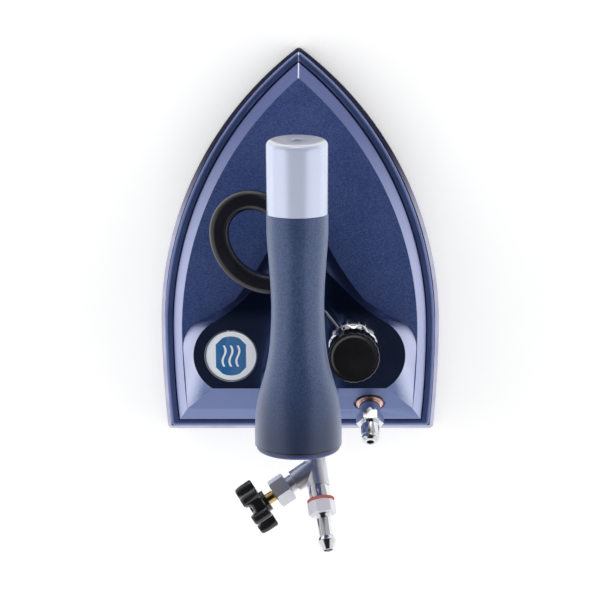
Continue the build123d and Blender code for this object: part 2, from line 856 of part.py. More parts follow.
# Screws from below that hold the saddle to the cover
with BuildPart() as saddle_screws:
    with Locations(Plane.XY.offset(cover_underside)):
        with Locations(*saddle_screw_places):
            Cylinder(
                radius=saddle_screw_head_radius,
                height=saddle_screw_head_height,
                align=(Align.CENTER, Align.CENTER, Align.MAX),
            )
            Cylinder(
                radius=saddle_screw_radius,
                height=cover_wall + saddle_screw_reach,
                align=(Align.CENTER, Align.CENTER, Align.MIN),
            )
saddle_screws.part.label = "saddle_screws"
export_step(saddle_screws.part, "parts/saddle_screws.step")

# Badge: a pressed ring and a plain enamel disc in the left lobe
with BuildPart() as badge_ring:
    with BuildSketch(Plane.XY.offset(saddle_top - badge_recess)):
        with Locations((badge_x, lobe_y)):
            Circle(badge_radius + badge_ring_width)
            Circle(badge_radius, mode=Mode.SUBTRACT)
    extrude(amount=badge_recess)
badge_ring.part.label = "badge_ring"
export_step(badge_ring.part, "parts/badge_ring.step")

with BuildPart() as badge_disc:
    with BuildSketch(Plane.XY.offset(saddle_top - badge_recess)):
        with Locations((badge_x, lobe_y)):
            Circle(badge_radius)
    extrude(amount=badge_thickness)
badge_disc.part.label = "badge_disc"
export_step(badge_disc.part, "parts/badge_disc.step")

# Grip: a moulded body of revolution with a rear cavity for the column's head
with BuildPart() as grip:
    with BuildSketch(profile_plane(grip_plane)):
        with BuildLine():
            Spline(*grip_profile, tangents=[(-1, 0), (-1, 0)])
            Polyline((0, grip_rear_radius), (0, 0), (grip_length, 0), (grip_length, grip_front_radius))
        make_face()
    revolve(axis=axis_of(grip_plane))
    grip_outer = grip.part
    with BuildSketch(grip_plane):
        Circle(core_rod_radius)
    extrude(amount=grip_length, mode=Mode.SUBTRACT)
    with BuildSketch(grip_plane):
        Circle(rear_cavity_radius)
    extrude(amount=rear_cavity_depth, mode=Mode.SUBTRACT)
    with BuildSketch(Plane.XY.offset(grip_z)):
        with Locations((0, (neck_front_y + neck_rear_y) / 2)):
            Rectangle(
                2 * (column_neck_half_width + assembly_clearance),
                neck_front_y - neck_rear_y + 2 * assembly_clearance,
            )
    extrude(amount=-grip_rear_radius - overrun, mode=Mode.SUBTRACT)
grip.part.label = "grip"
export_step(grip.part, "parts/grip.step")

# Handle column: cradles the grip, stands on the saddle and its rear slope, and clears the inlet
with BuildPart() as handle_column:
    loft(
        [
            column_outline(plate_z, column_half_width, column_front_y, column_rear_y),
            column_outline(
                saddle_top + column_top_rise,
                column_top_half_width,
                column_front_y - column_top_draw,
                column_rear_y,
            ),
        ],
        ruled=True,
    )
    add(saddle_block, mode=Mode.SUBTRACT)
    add(grip_outer, mode=Mode.SUBTRACT)
    with BuildSketch(inlet_plane.offset(-overrun)):
        Circle(inlet_radius + tunnel_clearance)
    extrude(amount=inlet_length, mode=Mode.SUBTRACT)
    with BuildSketch(Plane.XY.offset(saddle_top + column_neck_base)):
        with Locations((0, (neck_front_y + neck_rear_y) / 2)):
            Rectangle(2 * column_neck_half_width, neck_front_y - neck_rear_y)
    extrude(amount=grip_axis_rise - column_neck_base)
    with BuildSketch(grip_plane.offset(column_neck_rear_gap)):
        Circle(column_boss_radius)
    extrude(amount=neck_front_y - neck_rear_y)
    with BuildSketch(grip_plane.offset(core_rod_rear_gap)):
        Circle(core_rod_radius)
    extrude(amount=rear_cavity_depth, mode=Mode.SUBTRACT)
    with BuildSketch(grip_plane.offset(-rear_cap_thickness)):
        Circle(rear_screw_radius)
    extrude(amount=rear_cap_thickness + core_rod_rear_gap, mode=Mode.SUBTRACT)
    with BuildSketch(Plane.XY.offset(plate_z)):
        with Locations(*column_screw_places):
            Circle(column_screw_radius)
    extrude(amount=saddle_height + column_screw_reach, mode=Mode.SUBTRACT)
handle_column.part.label = "handle_column"
export_step(handle_column.part, "parts/handle_column.step")

# Screws up through the saddle into the column
with BuildPart() as column_screws:
    with Locations(Plane.XY.offset(plate_z)):
        with Locations(*column_screw_places):
            Cylinder(
                radius=column_screw_head_radius,
                height=column_screw_head_height,
                align=(Align.CENTER, Align.CENTER, Align.MIN),
            )
            Cylinder(
                radius=column_screw_radius,
                height=saddle_height + column_screw_reach,
                align=(Align.CENTER, Align.CENTER, Align.MIN),
            )
column_screws.part.label = "column_screws"
export_step(column_screws.part, "parts/column_screws.step")

# Core rod through the grip, from the column's boss to the end cap
rod_length = grip_length + cap_length - core_rod_front_gap - core_rod_rear_gap
with BuildPart() as core_rod:
    with BuildSketch(grip_plane.offset(core_rod_rear_gap)):
        Circle(core_rod_radius)
    extrude(amount=rod_length)
    with BuildSketch(grip_plane.offset(core_rod_rear_gap + rod_length)):
        Circle(end_screw_radius)
    extrude(amount=-end_screw_length, mode=Mode.SUBTRACT)
    with BuildSketch(grip_plane.offset(core_rod_rear_gap)):
        Circle(rear_screw_radius)
    extrude(amount=rear_screw_reach, mode=Mode.SUBTRACT)
core_rod.part.label = "core_rod"
export_step(core_rod.part, "parts/core_rod.step")

# End cap: pale, with a slightly slanted face, a rounded front edge and a recessed screw
cap_face_plane = Plane(
    origin=(0, grip_front_y + cap_length, grip_z),
    x_dir=(1, 0, 0),
    z_dir=(0, cos(radians(cap_face_lean)), sin(radians(cap_face_lean))),
)
with BuildPart() as end_cap:
    with BuildSketch(grip_plane.offset(grip_length)):
        Circle(grip_front_radius)
    extrude(amount=cap_length + grip_front_radius)
    with BuildSketch(cap_face_plane):
        Circle(2 * grip_front_radius)
    extrude(amount=2 * grip_front_radius, mode=Mode.SUBTRACT)
    fillet(edges().group_by(Axis.Y)[-1], radius=cap_edge_radius)
    with BuildSketch(grip_plane.offset(grip_length)):
        Circle(core_rod_radius)
    extrude(amount=cap_length - core_rod_front_gap, mode=Mode.SUBTRACT)
    with BuildSketch(grip_plane.offset(grip_length + cap_length - cap_hole_depth)):
        Circle(cap_hole_radius)
    extrude(amount=cap_hole_depth + overrun, mode=Mode.SUBTRACT)
    with BuildSketch(grip_plane.offset(grip_length + cap_length)):
        Circle(end_screw_radius)
    extrude(amount=-core_rod_front_gap, mode=Mode.SUBTRACT)
end_cap.part.label = "end_cap"
export_step(end_cap.part, "parts/end_cap.step")

with BuildPart() as end_screw:
    with BuildSketch(grip_plane.offset(grip_length + cap_length - cap_hole_depth)):
        Circle(cap_hole_radius)
    extrude(amount=end_screw_head_height)
    with BuildSketch(grip_plane.offset(grip_length + cap_length - cap_hole_depth)):
        Circle(end_screw_radius)
    extrude(amount=-(core_rod_front_gap - cap_hole_depth + end_screw_length))
    with BuildSketch(grip_plane.offset(grip_length + cap_length - cap_hole_depth + end_screw_head_height)):
        RegularPolygon(radius=cap_hole_radius / 2, side_count=6)
    extrude(amount=-end_screw_head_height / 2, mode=Mode.SUBTRACT)
end_screw.part.label = "end_screw"
export_step(end_screw.part, "parts/end_screw.step")

# Rear cap: a rounded disc that closes the grip's rear cavity, held by one screw
with BuildPart() as rear_cap:
    with BuildSketch(grip_plane):
        Circle(rear_cap_radius)
    extrude(amount=-rear_cap_thickness)
    fillet(edges().group_by(Axis.Y)[0], radius=rear_cap_edge_radius)
    with BuildSketch(grip_plane):
        Circle(rear_screw_radius + screw_clearance)
    extrude(amount=-rear_cap_thickness, mode=Mode.SUBTRACT)
rear_cap.part.label = "rear_cap"
export_step(rear_cap.part, "parts/rear_cap.step")

with BuildPart() as rear_screw:
    with BuildSketch(grip_plane.offset(-rear_cap_thickness)):
        Circle(rear_screw_head_radius)
    extrude(amount=-rear_screw_head_height)
    fillet(edges().group_by(Axis.Y)[0], radius=rear_screw_head_height / 3)
    with BuildSketch(grip_plane.offset(-rear_cap_thickness)):
        Circle(rear_screw_radius)
    extrude(amount=rear_cap_thickness + core_rod_rear_gap + rear_screw_reach)
    with BuildSketch(grip_plane.offset(-rear_cap_thickness - rear_screw_head_height)):
        RegularPolygon(radius=rear_screw_radius * 3 / 4, side_count=6)
    extrude(amount=rear_screw_head_height / 2, mode=Mode.SUBTRACT)
rear_screw.part.label = "rear_screw"
export_step(rear_screw.part, "parts/rear_screw.step")

# Lever bracket on the saddle: a foot with two ears that hold the bushes
with BuildPart() as lever_bracket:
    for ear_x in ear_places:
        with BuildSketch(pivot_plane.offset(ear_x)):
            Circle(bracket_ear_radius)
            with Locations((0, (saddle_top - lever_z) / 2)):
                Rectangle(2 * bracket_ear_radius, lever_z - saddle_top)
        extrude(amount=bracket_ear_thickness)
    with BuildSketch(Plane.XY.offset(saddle_top)):
        with Locations(((first_ear_x + bracket_end_x) / 2, pivot_y)):
            Rectangle(bracket_end_x - first_ear_x, 2 * bracket_half_length)
    extrude(amount=bracket_foot)
    with BuildSketch(pivot_plane.offset(first_ear_x)):
        Circle(lever_shaft_radius + bush_wall)
    extrude(amount=bracket_end_x - first_ear_x, mode=Mode.SUBTRACT)
lever_bracket.part.label = "lever_bracket"
export_step(lever_bracket.part, "parts/lever_bracket.step")

# Flanged bushes in the bracket's ears
with BuildPart() as lever_bushes:
    for ear_x in ear_places:
        with BuildSketch(pivot_plane.offset(ear_x)):
            Circle(lever_shaft_radius + bush_wall)
        extrude(amount=bracket_ear_thickness)
        with BuildSketch(pivot_plane.offset(ear_x)):
            Circle(lever_shaft_radius + bush_wall + bush_flange)
        extrude(amount=-bush_flange_thickness)
        with BuildSketch(pivot_plane.offset(ear_x - bush_flange_thickness)):
            Circle(lever_shaft_radius + running_clearance)
        extrude(amount=bush_flange_thickness + bracket_ear_thickness, mode=Mode.SUBTRACT)
lever_bushes.part.label = "lever_bushes"
export_step(lever_bushes.part, "parts/lever_bushes.step")

# Thumb loop: a flat egg-shaped ring whose inner side runs back as an arm to a hub on the shaft
with BuildPart() as thumb_loop:
    with BuildSketch(Plane.XY.offset(lever_z - loop_thickness / 2)):
        with BuildLine():
            ThreePointArc((loop_bar_x, loop_y), (loop_x, loop_y + loop_radius), (loop_left_x, loop_y))
            TangentArc((loop_left_x, loop_y), (loop_bar_x, loop_rear_y), tangent=(0, -1))
            Line((loop_bar_x, loop_rear_y), (loop_bar_x, loop_y))
        make_face()
        fillet(vertices().sort_by(Axis.Y)[0], radius=loop_corner_radius)
        offset(amount=loop_band / 2)
        offset(amount=-loop_band, mode=Mode.SUBTRACT)
    extrude(amount=loop_thickness)
    fillet(edges().group_by(Axis.Z)[0] + edges().group_by(Axis.Z)[-1], radius=loop_edge_radius)
    with BuildSketch(Plane.XY.offset(lever_z - loop_thickness / 2)):
        with Locations((loop_bar_x, (pivot_y + loop_rear_y) / 2)):
            Rectangle(loop_arm_width, loop_rear_y - pivot_y)
    extrude(amount=loop_thickness)
    with BuildSketch(pivot_plane.offset(loop_bar_x - loop_band / 2)):
        Circle(loop_hub_radius)
    extrude(amount=loop_band)
    with BuildSketch(pivot_plane.offset(loop_bar_x - loop_band / 2)):
        Circle(lever_shaft_radius)
    extrude(amount=loop_band, mode=Mode.SUBTRACT)
thumb_loop.part.label = "thumb_loop"
export_step(thumb_loop.part, "parts/thumb_loop.step")

# Shaft of the lever, with a clip at its right end and a socket for the crank wire
with BuildPart() as lever_shaft:
    with BuildSketch(pivot_plane.offset(loop_bar_x - loop_band / 2)):
        Circle(lever_shaft_radius)
    extrude(amount=shaft_end_x - loop_bar_x + loop_band / 2)
    with BuildSketch(pivot_plane.offset(shaft_end_x)):
        Circle(crank_wire_radius)
    extrude(amount=-crank_socket_depth, mode=Mode.SUBTRACT)
lever_shaft.part.label = "lever_shaft"
export_step(lever_shaft.part, "parts/lever_shaft.step")

with BuildPart() as shaft_clip:
    with BuildSketch(pivot_plane.offset(bracket_end_x + assembly_clearance)):
        Circle(shaft_clip_radius)
        Circle(lever_shaft_radius, mode=Mode.SUBTRACT)
    extrude(amount=shaft_clip_thickness)
shaft_clip.part.label = "shaft_clip"
export_step(shaft_clip.part, "parts/shaft_clip.step")

# Crank wire: out of the shaft, across to the valve's tab, with a small hook at its end
crank_tip = circle_point(valve_x, valve_y, crank_reach, crank_angle)
crank_end = circle_point(*crank_tip, crank_hook, crank_hook_angle)
with BuildPart() as crank_wire:
    with BuildLine(Plane.XY.offset(lever_z)):
        FilletPolyline(
            (shaft_end_x - crank_socket_depth, pivot_y),
            (shaft_end_x + crank_bend_gap, pivot_y),
            crank_tip,
            crank_end,
            radius=crank_bend_radius,
        )
    with BuildSketch(pivot_plane.offset(shaft_end_x - crank_socket_depth)):
        Circle(crank_wire_radius)
    sweep()
crank_wire.part.label = "crank_wire"
export_step(crank_wire.part, "parts/crank_wire.step")

# Steam valve: a bored body that passes through the saddle and stands on the chest
with BuildPart() as valve_body:
    with BuildSketch(Plane.XY.offset(chest_top)):
        with Locations((valve_x, valve_y)):
            Circle(valve_body_radius)
            Circle(valve_port_radius, mode=Mode.SUBTRACT)
    extrude(amount=saddle_top - chest_top)
    with Locations((valve_x, valve_y, saddle_top)):
        CounterBoreHole(
            radius=valve_bore_radius,
            counter_bore_radius=bonnet_thread_radius,
            counter_bore_depth=bonnet_thread_length + assembly_clearance,
            depth=saddle_top - seat_z,
        )
valve_body.part.label = "valve_body"
export_step(valve_body.part, "parts/valve_body.step")

with BuildPart() as valve_seat:
    with BuildSketch(Plane.XY.offset(seat_z)):
        with Locations((valve_x, valve_y)):
            Circle(valve_bore_radius)
            Circle(valve_port_radius, mode=Mode.SUBTRACT)
    extrude(amount=seat_thickness)
valve_seat.part.label = "valve_seat"
export_step(valve_seat.part, "parts/valve_seat.step")

with BuildPart() as bonnet_gasket:
    with BuildSketch(Plane.XY.offset(saddle_top)):
        with Locations((valve_x, valve_y)):
            Circle(bonnet_radius - bonnet_edge_chamfer)
            Circle(bonnet_thread_radius, mode=Mode.SUBTRACT)
    extrude(amount=bonnet_gasket_thickness)
bonnet_gasket.part.label = "bonnet_gasket"
export_step(bonnet_gasket.part, "parts/bonnet_gasket.step")

# Bonnet: a notched collar screwed into the valve body, hollow for the spring, with a packing pocket
with BuildPart() as valve_bonnet:
    with BuildSketch(Plane.XY.offset(bonnet_z)):
        with Locations((valve_x, valve_y)):
            Circle(bonnet_radius)
    extrude(amount=bonnet_height)
    chamfer(faces().sort_by(Axis.Z)[-1].edges(), length=bonnet_edge_chamfer)
    with Locations((valve_x, valve_y, bonnet_top)):
        with PolarLocations(bonnet_radius, bonnet_notches):
            Box(
                2 * bonnet_notch_reach,
                bonnet_notch_width,
                2 * bonnet_notch_depth,
                mode=Mode.SUBTRACT,
            )
    with BuildSketch(Plane.XY.offset(bonnet_z)):
        with Locations((valve_x, valve_y)):
            Circle(bonnet_thread_radius)
    extrude(amount=-bonnet_gasket_thickness - bonnet_thread_length)
    with BuildSketch(Plane.XY.offset(spring_roof)):
        with Locations((valve_x, valve_y)):
            Circle(valve_bore_radius)
    extrude(amount=saddle_top - bonnet_thread_length - spring_roof, mode=Mode.SUBTRACT)
    with Locations((valve_x, valve_y, bonnet_top)):
        CounterBoreHole(
            radius=stem_radius + running_clearance,
            counter_bore_radius=packing_radius,
            counter_bore_depth=gland_spigot + packing_height,
            depth=bonnet_roof,
        )
valve_bonnet.part.label = "valve_bonnet"
export_step(valve_bonnet.part, "parts/valve_bonnet.step")

with BuildPart() as gland_packing:
    with BuildSketch(Plane.XY.offset(bonnet_top - gland_spigot)):
        with Locations((valve_x, valve_y)):
            Circle(packing_radius)
            Circle(stem_radius + running_clearance, mode=Mode.SUBTRACT)
    extrude(amount=-packing_height)
gland_packing.part.label = "gland_packing"
export_step(gland_packing.part, "parts/gland_packing.step")

with BuildPart() as gland_nut:
    with BuildSketch(Plane.XY.offset(bonnet_top)):
        with Locations((valve_x, valve_y)):
            RegularPolygon(radius=gland_nut_radius, side_count=6)
    extrude(amount=gland_nut_height)
    with BuildSketch(Plane.XY.offset(bonnet_top)):
        with Locations((valve_x, valve_y)):
            Circle(packing_radius)
    extrude(amount=-gland_spigot)
    with Locations((valve_x, valve_y, gland_top)):
        Hole(radius=stem_radius + running_clearance, depth=gland_nut_height + gland_spigot)
gland_nut.part.label = "gland_nut"
export_step(gland_nut.part, "parts/gland_nut.step")

# Stem with its plunger head, and the soft seal under the head
with BuildPart() as valve_stem:
    with BuildSketch(Plane.XY.offset(plunger_z)):
        with Locations((valve_x, valve_y)):
            Circle(plunger_radius)
    extrude(amount=plunger_height)
    with BuildSketch(Plane.XY.offset(stem_z)):
        with Locations((valve_x, valve_y)):
            Circle(stem_radius)
    extrude(amount=stem_top - stem_z)
valve_stem.part.label = "valve_stem"
export_step(valve_stem.part, "parts/valve_stem.step")

with BuildPart() as plunger_seal:
    with BuildSketch(Plane.XY.offset(seal_z)):
        with Locations((valve_x, valve_y)):
            Circle(seal_radius)
    extrude(amount=seal_thickness)
plunger_seal.part.label = "plunger_seal"
export_step(plunger_seal.part, "parts/plunger_seal.step")

# Return spring between the plunger and the bonnet's roof
spring_radius = (stem_radius + plunger_radius) / 2
spring_length = spring_roof - stem_z - 2 * spring_wire_radius
with BuildPart() as return_spring:
    with BuildLine():
        coil = Helix(
            pitch=spring_length / spring_turns,
            height=spring_length,
            radius=spring_radius,
            center=(valve_x, valve_y, stem_z + spring_wire_radius),
        )
    with BuildSketch(Plane(origin=coil @ 0, z_dir=coil % 0)):
        Circle(spring_wire_radius)
    sweep(is_frenet=True)
return_spring.part.label = "return_spring"
export_step(return_spring.part, "parts/return_spring.step")

# Lift collar on the stem, with a tab that the crank wire lifts
with BuildPart() as lift_collar:
    with BuildSketch(Plane.XY.offset(lift_z)):
        with Locations((valve_x, valve_y)):
            Circle(lift_collar_radius)
        with Locations(circle_point(valve_x, valve_y, lift_tab_reach / 2, crank_angle)):
            Rectangle(lift_tab_reach, lift_tab_width, rotation=crank_angle)
        with Locations((valve_x, valve_y)):
            Circle(stem_radius, mode=Mode.SUBTRACT)
    extrude(amount=lift_collar_thickness)
lift_collar.part.label = "lift_collar"
export_step(lift_collar.part, "parts/lift_collar.step")

# Regulator knob on the stem's top, with fine flutes
with BuildPart() as regulator_knob:
    with BuildSketch(Plane.XY.offset(knob_z)):
        with Locations((valve_x, valve_y)):
            Circle(knob_radius)
            with PolarLocations(knob_radius, knob_flutes):
                Circle(knob_flute_radius, mode=Mode.SUBTRACT)
    extrude(amount=knob_height - knob_edge_radius)
    with BuildSketch(Plane.XY.offset(knob_top - knob_edge_radius)):
        with Locations((valve_x, valve_y)):
            Circle(knob_radius - knob_flute_radius)
    extrude(amount=knob_edge_radius)
    fillet(faces().sort_by(Axis.Z)[-1].edges(), radius=knob_edge_radius - knob_flute_radius)
    with BuildSketch(Plane.XY.offset(knob_z)):
        with Locations((valve_x, valve_y)):
            Circle(stem_radius + running_clearance)
    extrude(amount=knob_bore_depth, mode=Mode.SUBTRACT)
regulator_knob.part.label = "regulator_knob"
export_step(regulator_knob.part, "parts/regulator_knob.step")

# Condensate port: a soft copper washer in the recess and a nipple screwed through it
with BuildPart() as condensate_washer:
    with BuildSketch(port_plane.offset(-port_recess_depth)):
        Circle(port_washer_radius)
        Circle(port_thread_radius + assembly_clearance, mode=Mode.SUBTRACT)
    extrude(amount=port_washer_thickness)
condensate_washer.part.label = "condensate_washer"
export_step(condensate_washer.part, "parts/condensate_washer.step")

port_neck_start = port_washer_thickness - port_recess_depth
port_hex_start = port_neck_start + port_neck_length
port_pipe_start = port_hex_start + port_hex_length
port_tip = port_pipe_start + port_pipe_length
with BuildPart() as condensate_nipple:
    with BuildSketch(port_plane.offset(port_pipe_start)):
        Circle(port_pipe_radius)
    extrude(amount=port_pipe_length)
    chamfer(faces().sort_by(axis_of(port_plane))[-1].edges(), length=port_tip_chamfer)
    with BuildSketch(port_plane.offset(port_pipe_start)):
        Circle(port_pipe_radius)
        Circle(port_pipe_radius - port_groove_depth, mode=Mode.SUBTRACT)
    extrude(amount=port_groove_width, mode=Mode.SUBTRACT)
    with BuildSketch(port_plane.offset(port_hex_start)):
        RegularPolygon(radius=hexagon_radius(port_hex_flats), side_count=6)
    extrude(amount=port_hex_length)
    with BuildSketch(port_plane.offset(port_neck_start)):
        Circle(port_neck_radius)
    extrude(amount=port_neck_length)
    with BuildSketch(port_plane.offset(port_neck_start)):
        Circle(port_thread_radius)
    extrude(amount=-port_washer_thickness - port_thread_length)
    with BuildSketch(port_plane.offset(port_tip)):
        Circle(port_bore_radius)
    extrude(amount=-port_tip - port_recess_depth - port_thread_length, mode=Mode.SUBTRACT)
condensate_nipple.part.label = "condensate_nipple"
export_step(condensate_nipple.part, "parts/condensate_nipple.step")

# Distances along the inlet's axis, from the slope outwards
sleeve_start = inlet_length + inlet_seam
washer_start = sleeve_start + sleeve_length
nut_start = washer_start + union_washer_thickness
nut_end = nut_start + union_nut_length
barb_head_start = nut_end + barb_tube_length
barb_taper_start = barb_head_start + barb_rise
barb_tip = barb_taper_start + barb_head_length

# Inlet body: a bored tube screwed into the slope, with a branch for the needle valve
with BuildPart() as inlet_body:
    with BuildSketch(inlet_plane):
        Circle(inlet_radius)
    extrude(amount=inlet_length)
    with BuildSketch(inlet_plane):
        Circle(inlet_radius)
    extrude(amount=-inlet_radius / 3)
    add(saddle_block, mode=Mode.SUBTRACT)
    with BuildSketch(inlet_plane.offset(-inlet_thread_length)):
        Circle(inlet_thread_radius)
    extrude(amount=inlet_thread_length + inlet_radius)
    with BuildSketch(branch_plane):
        Circle(branch_radius)
    extrude(amount=branch_length)
    with BuildSketch(inlet_plane.offset(inlet_length)):
        Circle(inlet_radius + assembly_clearance)
    extrude(amount=branch_length, mode=Mode.SUBTRACT)
    with BuildSketch(branch_plane):
        Circle(needle_spigot_radius)
    extrude(amount=branch_length, mode=Mode.SUBTRACT)
    with BuildSketch(inlet_plane.offset(-inlet_thread_length)):
        Circle(inlet_bore_radius)
    extrude(amount=inlet_thread_length + inlet_length, mode=Mode.SUBTRACT)
    with BuildSketch(inlet_plane.offset(inlet_length)):
        Circle(union_spigot_radius)
    extrude(amount=-union_spigot_length, mode=Mode.SUBTRACT)
inlet_body.part.label = "inlet_body"
export_step(inlet_body.part, "parts/inlet_body.step")

# Sleeve between the inlet body and the union nut, screwed into the body's end
with BuildPart() as inlet_sleeve:
    with BuildSketch(inlet_plane.offset(inlet_length - union_spigot_length)):
        Circle(union_spigot_radius)
    extrude(amount=union_spigot_length)
    with BuildSketch(inlet_plane.offset(inlet_length)):
        Circle(sleeve_neck_radius)
    extrude(amount=inlet_seam)
    with BuildSketch(inlet_plane.offset(sleeve_start)):
        Circle(inlet_radius)
    extrude(amount=sleeve_length)
    with BuildSketch(inlet_plane.offset(washer_start)):
        Circle(inlet_bore_radius)
    extrude(amount=-sleeve_length - inlet_seam - union_spigot_length, mode=Mode.SUBTRACT)
    with BuildSketch(inlet_plane.offset(washer_start)):
        Circle(union_spigot_radius)
    extrude(amount=-union_spigot_length - assembly_clearance, mode=Mode.SUBTRACT)
inlet_sleeve.part.label = "inlet_sleeve"
export_step(inlet_sleeve.part, "parts/inlet_sleeve.step")

with BuildPart() as union_washer:
    with BuildSketch(inlet_plane.offset(washer_start)):
        Circle(union_washer_radius)
        Circle(union_spigot_radius + assembly_clearance, mode=Mode.SUBTRACT)
    extrude(amount=union_washer_thickness)
union_washer.part.label = "union_washer"
export_step(union_washer.part, "parts/union_washer.step")

# Union nut: a hexagon with turned corners and a spigot into the sleeve
with BuildPart() as union_nut:
    with BuildSketch(inlet_plane.offset(nut_start)):
        RegularPolygon(radius=hexagon_radius(union_nut_flats), side_count=6)
    extrude(amount=union_nut_length)
    with BuildSketch(profile_plane(inlet_plane)):
        with BuildLine():
            Polyline(
                (nut_start, 0),
                (nut_start, union_nut_flats / 2),
                (nut_start + union_nut_chamfer, hexagon_radius(union_nut_flats)),
                (nut_end - union_nut_chamfer, hexagon_radius(union_nut_flats)),
                (nut_end, union_nut_flats / 2),
                (nut_end, 0),
                close=True,
            )
        make_face()
    revolve(axis=axis_of(inlet_plane), mode=Mode.INTERSECT)
    with BuildSketch(inlet_plane.offset(nut_start)):
        Circle(union_spigot_radius)
    extrude(amount=-union_washer_thickness - union_spigot_length)
    with BuildSketch(inlet_plane.offset(nut_end)):
        Circle(barb_tube_radius)
    extrude(
        amount=-union_nut_length - union_washer_thickness - union_spigot_length,
        mode=Mode.SUBTRACT,
    )
union_nut.part.label = "union_nut"
export_step(union_nut.part, "parts/union_nut.step")

# Hose barb: a tube brazed into the nut, with one barb at its free end
with BuildPart() as hose_barb:
    with BuildSketch(profile_plane(inlet_plane)):
        with BuildLine():
            Polyline(
                (washer_start - union_spigot_length, barb_bore_radius),
                (washer_start - union_spigot_length, barb_tube_radius),
                (barb_head_start, barb_tube_radius),
                (barb_head_start, barb_neck_radius),
                (barb_taper_start, barb_head_radius),
                (barb_tip, barb_tip_radius),
                (barb_tip, barb_bore_radius),
                close=True,
            )
        make_face()
    revolve(axis=axis_of(inlet_plane))
hose_barb.part.label = "hose_barb"
export_step(hose_barb.part, "parts/hose_barb.step")

# Distances along the branch's axis, from the inlet's axis outwards
hex_start = branch_length + neck_length
hex_end = hex_start + needle_hex_length
bore_floor = hex_end - needle_bore_depth
hand_start = hex_end + needle_stem_shown
hand_body_start = hand_start + hand_hub_length
hand_body_end = hand_body_start + hand_body_length

# Needle valve body screwed into the branch
with BuildPart() as needle_body:
    with BuildSketch(branch_plane.offset(branch_length - needle_spigot_length)):
        Circle(needle_spigot_radius)
    extrude(amount=needle_spigot_length)
    with BuildSketch(branch_plane.offset(branch_length)):
        Circle(neck_radius)
    extrude(amount=neck_length)
    with BuildSketch(branch_plane.offset(hex_start)):
        RegularPolygon(radius=hexagon_radius(needle_hex_flats), side_count=6)
    extrude(amount=needle_hex_length)
    with BuildSketch(branch_plane.offset(hex_end)):
        Circle(needle_stem_radius + running_clearance)
    extrude(amount=-needle_bore_depth, mode=Mode.SUBTRACT)
    with BuildSketch(branch_plane.offset(bore_floor)):
        Circle(needle_port_radius)
    extrude(amount=branch_length - needle_spigot_length - bore_floor, mode=Mode.SUBTRACT)
needle_body.part.label = "needle_body"
export_step(needle_body.part, "parts/needle_body.step")

# Needle stem: brass, with a cone at its inner end
with BuildPart() as needle_stem:
    with BuildSketch(profile_plane(branch_plane)):
        with BuildLine():
            Polyline(
                (bore_floor + assembly_clearance, 0),
                (bore_floor + assembly_clearance, needle_tip_radius),
                (bore_floor + assembly_clearance + needle_tip_length, needle_stem_radius),
                (hand_body_start, needle_stem_radius),
                (hand_body_start, 0),
                close=True,
            )
        make_face()
    revolve(axis=axis_of(branch_plane))
    with BuildSketch(branch_plane.offset(hand_body_start)):
        Circle(hand_screw_radius + running_clearance)
    extrude(amount=-hand_screw_reach - running_clearance, mode=Mode.SUBTRACT)
needle_stem.part.label = "needle_stem"
export_step(needle_stem.part, "parts/needle_stem.step")

# Hand knob of the needle valve: a hub, a round web and five long lobes
with BuildPart() as needle_knob:
    with BuildSketch(branch_plane.offset(hand_start)):
        Circle(hand_hub_radius)
    extrude(amount=hand_hub_length)
    with BuildSketch(branch_plane.offset(hand_body_start)):
        Circle(hand_body_radius)
    extrude(amount=hand_body_length)
    with BuildSketch(branch_plane.offset(hand_body_start)):
        with PolarLocations(hand_lobe_circle, hand_lobes, start_angle=hand_first_lobe):
            Circle(hand_lobe_radius)
    extrude(amount=hand_lobe_length)
    with BuildSketch(branch_plane.offset(hand_start)):
        Circle(needle_stem_radius + running_clearance)
    extrude(amount=hand_hub_length, mode=Mode.SUBTRACT)
    with BuildSketch(branch_plane.offset(hand_body_start)):
        Circle(hand_screw_radius + screw_clearance)
    extrude(amount=hand_body_length, mode=Mode.SUBTRACT)
needle_knob.part.label = "needle_knob"
export_step(needle_knob.part, "parts/needle_knob.step")

with BuildPart() as needle_screw:
    with BuildSketch(branch_plane.offset(hand_body_end)):
        Circle(hand_screw_head_radius)
    extrude(amount=hand_screw_head_height)
    with BuildSketch(branch_plane.offset(hand_body_end)):
        Circle(hand_screw_radius)
    extrude(amount=-hand_body_length - hand_screw_reach)
needle_screw.part.label = "needle_screw"
export_step(needle_screw.part, "parts/needle_screw.step")
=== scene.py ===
import json
import logging
from dataclasses import dataclass
from enum import Enum
from math import cos, pi, radians, sin, tan

import bmesh
import bpy
import numpy as np
from mathutils import Matrix, Vector

